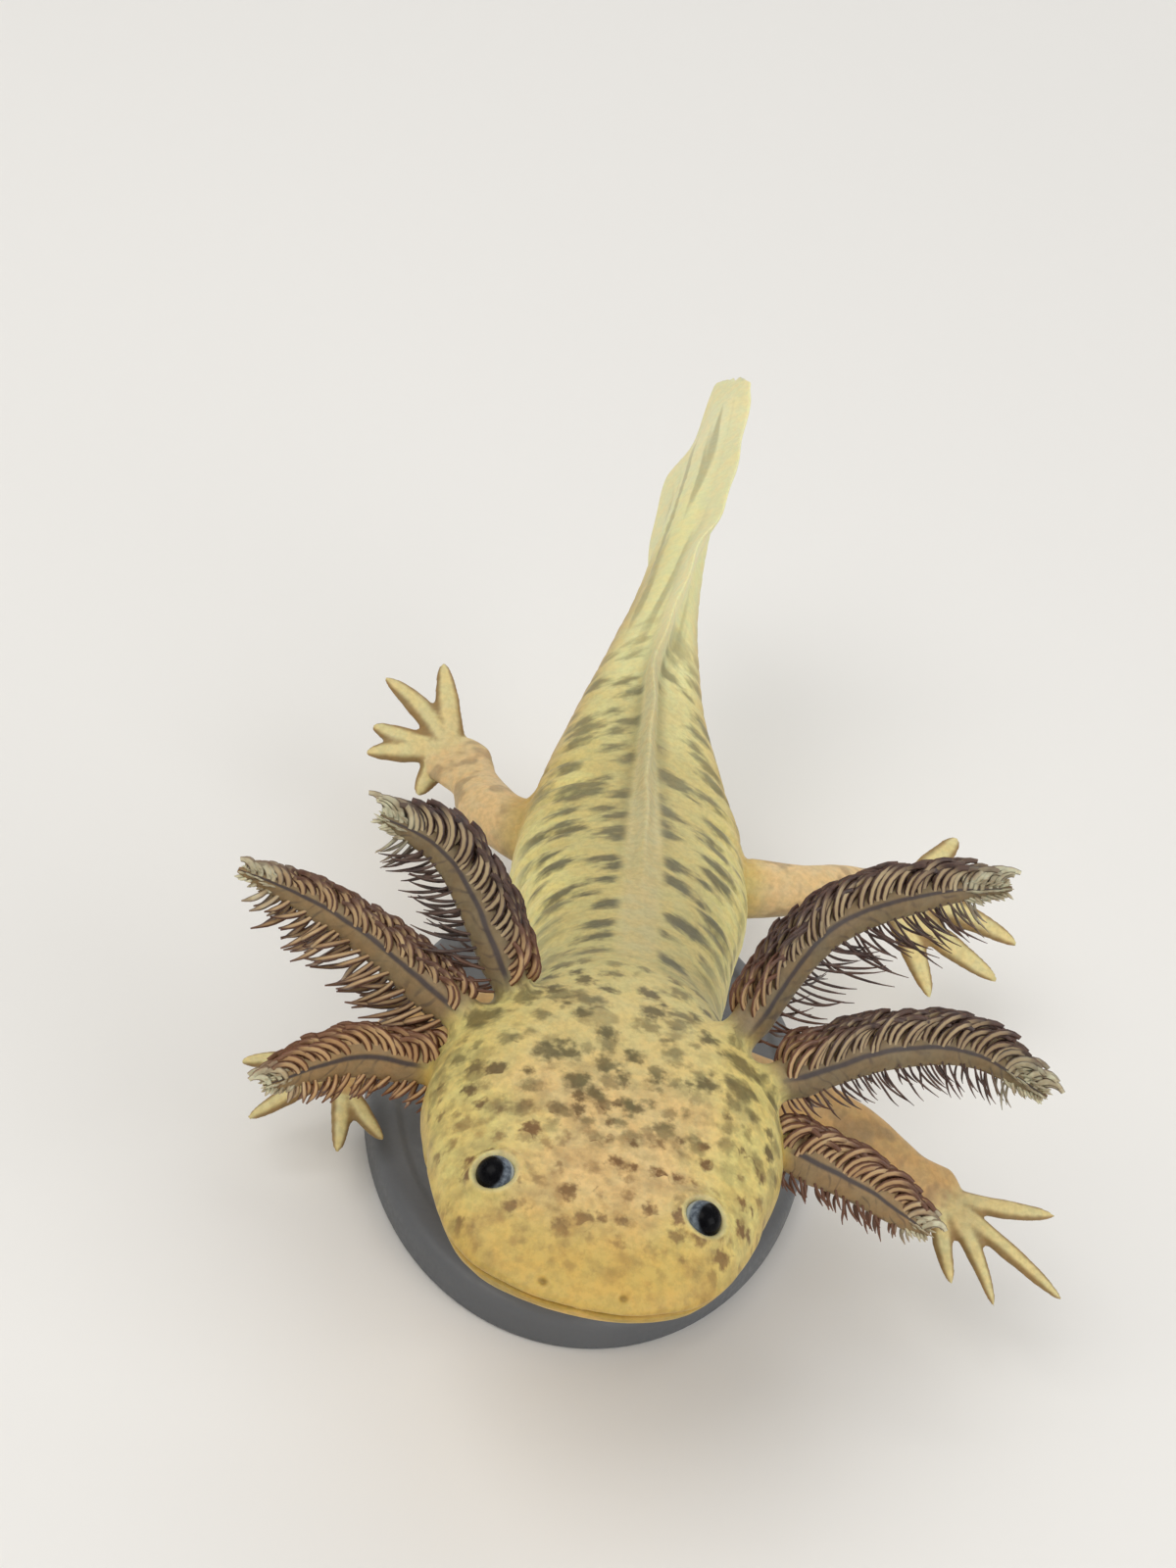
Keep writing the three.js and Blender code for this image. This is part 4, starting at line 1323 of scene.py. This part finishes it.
# One kind of filament along a stalk's line, as flattened, tapering and bent solid blades
def makeFilamentTree():
    tree, given = newGroup("filaments", [
        ("Line", "Geometry"), ("Rows", "Int", 3), ("Seed", "Int", 0), ("Size", "Float", 1.0),
        ("Leaf", "Float", 1.0), ("Warmth", "Float", 0.0),
        *[(key, "Float", 0.0) for key in fringe["comb"] if key != "Rows"],
    ], [("Filaments", "Geometry")], "GeometryNodeTree")
    spacing = given["Spacing"] * mm
    line = node("GeometryNodeMeshToCurve", {"Mesh": given["Line"]})
    line = node("GeometryNodeResampleCurve", {"Curve": line, "Length": spacing}, mode="LENGTH")
    roots = node("GeometryNodeCurveToPoints", {"Curve": line}, mode="EVALUATED")
    share = named("share")
    outside = maths("LESS_THAN", share, given["Start"]) + maths("GREATER_THAN", share, given["End"])
    roots = node("GeometryNodeDeleteGeometry", {"Geometry": roots, "Selection": outside}, domain="POINT")
    inputs = {"Geometry": roots, "Amount": given["Rows"]}
    copies, number = outputsOf("GeometryNodeDuplicateElements", inputs, domain="POINT").values()
    row = number / maths("MAXIMUM", given["Rows"] - 1.0, 1.0)
    jitter = [randomIn(-1.0, 1.0, given["Seed"], k) for k in range(5)]
    fromMiddle = row * 2.0 - 1.0
    turn = fromMiddle * given["Fan"] + jitter[0] * 9.0
    aim = maths("RADIANS", turn * given["Gather"] + given["Aim"])
    turn = maths("RADIANS", turn + given["Aim"])
    rise, across, along = (named(name, "FLOAT_VECTOR") for name in ("rise", "across", "along"))
    up = rise * (cosine(turn) * (named("high") * 0.8))
    over = across * (sine(turn) * (named("thick") * 0.8))
    slide = along * (jitter[1] * (spacing * 0.4))
    # shorter at both ends of the gill, and uneven
    ends = spread(share, -0.05, 0.16, 0.45, 1.0) * spread(share, 0.62, 1.0, 1.0, 0.55)
    uneven = jitter[2] * given["Uneven"] * 0.6 + 1.0
    size = given["Length"] * mm * (given["Size"] * (ends * uneven))
    outer = maths("ABSOLUTE", fromMiddle) * (1.0 - given["Inner"])
    points = stored(
        copies,
        root=node("GeometryNodeInputPosition") + (up + (over + slide)),
        outward=rise * cosine(aim) + across * sine(aim),
        size=size * (outer + given["Inner"]),
        lean=jitter[3] * given["Uneven"] * 0.5 + given["Lean"],
        sway=jitter[4] * given["Uneven"] * given["Leaf"],
        tone=randomIn(0.0, 1.0, given["Seed"], 7),
        turn=turn,
    )

    strand = node("GeometryNodeCurvePrimitiveLine", {"End": (0.0, 0.0, 0.001)})
    strand = node("GeometryNodeResampleCurve", {"Curve": strand, "Count": fringe["steps"]}, mode="COUNT")
    strand = stored(strand, reach=node("GeometryNodeSplineParameter"))
    strands = node("GeometryNodeInstanceOnPoints", {"Points": points, "Instance": strand})
    strands = node("GeometryNodeRealizeInstances", {"Geometry": strands})
    # an arc that starts at the lean's angle and turns by the bend's, in radians
    reach, lean, bend = named("reach"), named("lean"), given["Bend"]
    turned = bend * reach + lean
    away = (sine(turned) - sine(lean)) / bend
    forward = (cosine(lean) - cosine(turned)) / bend
    wave = sine(reach * 4.5) * (named("sway") * 0.3)
    outward = named("outward", "FLOAT_VECTOR")
    shape = outward * away + along * forward + across * wave
    place = named("root", "FLOAT_VECTOR") + shape * named("size")
    strands = node("GeometryNodeSetPosition", {"Geometry": strands, "Position": place})
    flatWay = along * cosine(turned) - outward * sine(turned)
    strands = node("GeometryNodeSetCurveNormal", {"Curve": strands, "Normal": flatWay}, mode="FREE")

    inputs = {"Resolution": fringe["sides"], "Radius": 1.0}
    profile = node("GeometryNodeCurvePrimitiveCircle", inputs)
    x, _, _ = partsOf(node("GeometryNodeInputPosition"))
    inputs = {"Geometry": stored(profile, rim=x), "Scale": xyz(1.0, given["Thickness"], 1.0)}
    profile = node("GeometryNodeTransform", inputs)
    taper = spread(reach, -0.3, 0.35, 0.55, 1.0) * spread(reach, 0.6, 1.02, 1.0, given["Blunt"])
    blades = node("GeometryNodeCurveToMesh", {
        "Curve": strands, "Profile Curve": profile, "Scale": given["Width"] * mm * (taper * given["Leaf"]),
        "Fill Caps": True,
    })
    rim = named("rim")
    origin = xyz(share, given["Kind"], given["Warmth"])
    blades = stored(blades, blade=xyz(reach, rim, named("tone")), origin=origin, leaf=given["Leaf"])
    # each filament's own small patch, where its root lies on the stalk laid flat
    half, margin = fringe["patch"] / 2, fringe["margin"]
    u = share * (1 - 2 * margin) + (rim * half + margin)
    around = maths("FRACT", named("turn") * (1 / (2 * math.pi)) + 0.5)
    v = around * (1 - 2 * margin) + (reach * (2 * half) + (margin - half))
    return closed(tree, Filaments=stored(blades, "FLOAT2", "CORNER", OFBake=xyz(u, v)))


# A gill's whole fringe: comb above, hairs below, frayed tip
def makeFringeTree(filaments):
    tree, given = newGroup("gillFringe", [
        ("Line", "Geometry"), ("Seed", "Int", 1), ("Comb", "Float", 1.0), ("Hairs", "Float", 1.0),
        ("Tips", "Float", 1.0), ("Leaf", "Float", 1.0), ("Warmth", "Float", 0.0), ("Material", "Material"),
    ], [("Fringe", "Geometry")], "GeometryNodeTree")
    together = tree.nodes.new("GeometryNodeJoinGeometry")
    for number, kind in enumerate(("comb", "hairs", "tips")):
        inputs = {
            **fringe[kind], "Line": given["Line"], "Seed": given["Seed"] + 100.0 * number,
            "Size": given[kind.capitalize()], "Warmth": given["Warmth"],
            "Leaf": given["Leaf"] if kind == "hairs" else 1.0,
        }
        plug(together.inputs[0], node("GeometryNodeGroup", inputs, node_tree=filaments))
    whole = node("GeometryNodeRealizeInstances", {"Geometry": Value(together.outputs[0])})
    inputs = {"Geometry": whole, "Material": given["Material"]}
    return closed(tree, Fringe=node("GeometryNodeSetMaterial", inputs))


def makeFilamentMaterial():
    material = newMaterial("gillFilaments")
    reach, rim, tone = partsOf(attribute("blade"))
    share, kind, warmth = partsOf(attribute("origin"))
    uneven = noiseAt(millimetres(), 0.9)
    edge = maths("ABSOLUTE", rim)
    warm = maths("MAXIMUM", warmth, spread(share, 0.3, 0.05) * 0.55)
    pale = mixed(warm, mixed(tone, *fringe["pale"]), mixed(tone, *fringe["paleWarm"]))
    patchy = spread(uneven, 0.35, 0.65)
    dark = mixed(warm, mixed(patchy, *fringe["dark"]), fringe["darkWarm"])
    atTip = spread(uneven * 0.3 + reach, 0.66, 0.98) * spread(warmth, 0.4, 1.0, 1.0, 0.45)
    colour = mixed(maths("MAXIMUM", spread(edge, 0.3, 0.65), atTip), pale, dark)
    inside = spread(edge, 0.75, 0.2) * spread(reach, 1.0, 0.6)
    plainHair = mixed(inside * spread(attribute("leaf", "Fac"), 1.1, 2.0), dark, pale)
    colour = mixed(bandMask(kind, 0.2, 0.4, 0.6, 0.8), colour, plainHair)
    atEnd = spread(share, 0.78, 0.97) * spread(edge, 1.1, 0.5)
    creamy = maths("MAXIMUM", atEnd, spread(kind, 0.7, 0.9) * 0.7)
    return shaded(material, {
        "Base Color": mixed(creamy, colour, mixed(patchy, *fringe["cream"])),
        "Roughness": spread(uneven, 0.3, 0.7, 0.32, 0.5),
        "Specular IOR Level": 0.35,
        "Subsurface Weight": 0.15,
        "Subsurface Radius": (1.0, 0.5, 0.3),
        "Subsurface Scale": 0.0005,
    }, (uneven, 0.3, 0.00008))


def makeFringe(name, tree, material, seed):
    shares = np.linspace(0, 1, 90)
    place, along, rise, across = gillFrames(name, shares)
    high, thick = between(gills["stalk"], shares).T * mm
    line = bpy.data.meshes.new("line")
    line.from_pydata([tuple(p) for p in place * mm], [(i, i + 1) for i in range(len(shares) - 1)], [])
    made = linked("line", line)
    values = {"along": along, "rise": rise, "across": across, "share": shares, "high": high, "thick": thick}
    for key in values:
        addAttribute(made, key, values[key])
    modifier = made.modifiers.new("fringe", "NODES")
    modifier.node_group = tree
    settings = {"Seed": seed, "Material": material, **fringeSizes[name]}
    for item in tree.interface.items_tree:
        if item.in_out == "INPUT" and item.name in settings:
            modifier[item.identifier] = settings[item.name]
    applyModifiers(made)
    made.name = made.data.name = "gillFringe" + "".join(word.capitalize() for word in name.split("_"))
    enter(made, "gills", "gill_" + name)
    print(made.name, len(made.data.polygons), "faces")


fringeTree = makeFringeTree(makeFilamentTree())
filamentMaterial = makeFilamentMaterial()
for number, name in enumerate(fringeSizes):
    makeFringe(name, fringeTree, filamentMaterial, fringe["seed"] + 13 * number)

# Stand: a low oval base with a rounded edge, and two steel rods with collars

stand = {
    # how far in from the base's outline, and height, in millimetres
    "edge": [
        (1.6, 0.0), (0.5, 0.0), (0.18, 0.12), (0.03, 0.4), (0, 0.8), (0, 2.2), (0.1, 2.7), (0.4, 3.15),
        (0.9, 3.45), (1.5, 3.58), (2.2, 3.6), (2.6, 3.55), (2.9, 3.4), (3.3, 3.34), (6.0, 3.34),
    ],
    "sides": 128,
    "rodSides": 32,
    # radius and height over the base
    "collar": [(2.7, -0.1), (2.9, 0.1), (2.9, 0.75), (2.75, 0.95), (2.4, 1.0)],
    "plastic": ((0.105, 0.112, 0.122), (0.135, 0.142, 0.152)),
    "steel": ((0.42, 0.43, 0.44), (0.56, 0.57, 0.58)),
}


# A piece of the stand from oval rings of half width, half length and height round a centre
def standPiece(name, replaced, slot, material, centre, outline, sides):
    turn = fullTurn(sides)
    rings = []
    for width, length, height in outline:
        x, y = centre[0] + width * np.cos(turn), centre[1] + length * np.sin(turn)
        rings.append(np.stack([x, y, np.full(len(turn), height)], axis=1))
    points, faces = loft(rings)
    made = meshObject(name, points * mm, faces)
    made.data.materials.append(material)
    enter(made, slot, replaced)


def boxOf(name):
    low, high = (np.array(corner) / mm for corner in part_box(name))
    return low, high, (low + high) / 2, (high - low) / 2


def makeStandBase():
    low, high, centre, half = boxOf("stand_base")
    outline = [(half[0] - inset, half[1] - inset, low[2] + height) for inset, height in stand["edge"]]
    standPiece("standBase", "stand_base", "stand_base", makePlastic(), centre, outline, stand["sides"])
    return high[2]


def makeRod(name, replaced, top):
    _, high, centre, half = boxOf(replaced)
    radius = half[0]
    outline = [(r, top - 0.26 + h) for r, h in stand["collar"]]
    outline += [(radius + 0.15, top + 0.8), (radius, top + 1.0)]
    outline += [(radius, h) for h in np.linspace(top + 1.4, high[2] + 0.6, 12)]
    outline = [(r, r, h) for r, h in outline]
    standPiece(name, replaced, "stand_rods", steel, centre, outline, stand["rodSides"])


def makePlastic():
    material = newMaterial("standPlastic")
    place = millimetres()
    texture = noiseAt(place, 2.2, 3.0)
    return shaded(material, {
        "Base Color": mixed(noiseAt(place, 0.12), *stand["plastic"]),
        "Roughness": spread(texture, 0.3, 0.7, 0.42, 0.56),
    }, (texture, 0.2, 0.00008))


def makeSteel():
    material = newMaterial("brushedSteel")
    brushed = noiseAt(stretched(millimetres(), (0.4, 0.4, 9.0)), 1.0, 3.0)
    return shaded(material, {
        "Base Color": mixed(brushed, *stand["steel"]),
        "Roughness": spread(brushed, 0.3, 0.7, 0.22, 0.36),
        "Metallic": 1.0,
    }, (brushed, 0.15, 0.00003))


steel = makeSteel()
baseTop = makeStandBase()
makeRod("standRodFront", "stand_rod_front", baseTop)
makeRod("standRodRear", "stand_rod_rear", baseTop)
print("stand made")

# Studio: a pale floor that curves up behind, and soft lights

studio = {
    "floor": (0.83, 0.82, 0.80),
    "floorSides": 96,
    # radius and height of the floor's rings, in metres
    "floorRings": [(0.01, 0), (1.5, 0), (2.6, 0.03), (3.4, 0.25), (3.9, 0.8), (4.1, 1.6), (4.15, 3.0)],
    "world": 0.7,
    "lights": [
        # place in metres, size, power, colour; all aim at the middle of the stand
        ((-0.55, -0.35, 1.0), 0.9, 6.0, (1.0, 0.98, 0.95)),
        ((0.9, -0.6, 0.6), 0.8, 5.0, (0.97, 0.98, 1.0)),
        ((0.2, 1.0, 0.7), 0.7, 2.0, (1.0, 1.0, 1.0)),
    ],
}


def makeFloor():
    sides, rings = studio["floorSides"], studio["floorRings"]
    turn = fullTurn(sides)
    points = [(r * math.cos(a), r * math.sin(a), z) for r, z in rings for a in turn] + [(0, 0, 0)]
    faces = bandFaces(len(rings), sides)
    faces += [(len(points) - 1, k, (k + 1) % sides) for k in range(sides)]
    mesh = bpy.data.meshes.new("floor")
    mesh.from_pydata(points, [], faces)
    smooth(mesh)
    floor = linked("floor", mesh)
    mesh.materials.append(shaded(newMaterial("floor"), {"Base Color": studio["floor"], "Roughness": 0.9}))


def makeLights():
    scene = bpy.context.scene
    scene.world = bpy.data.worlds.new("studio")
    scene.world.use_nodes = True
    background = scene.world.node_tree.nodes["Background"].inputs
    background["Color"].default_value = (*studio["floor"], 1)
    background["Strength"].default_value = studio["world"]
    scene.view_settings.view_transform = "Standard"
    for number, (place, size, power, colour) in enumerate(studio["lights"]):
        data = bpy.data.lights.new("light%d" % number, "AREA")
        data.size, data.energy, data.color = size, power, colour
        light = linked(data.name, data)
        light.location = place
        light.rotation_euler = Vector(place).to_track_quat("Z", "Y").to_euler()


makeFloor()
makeLights()
print("studio made")
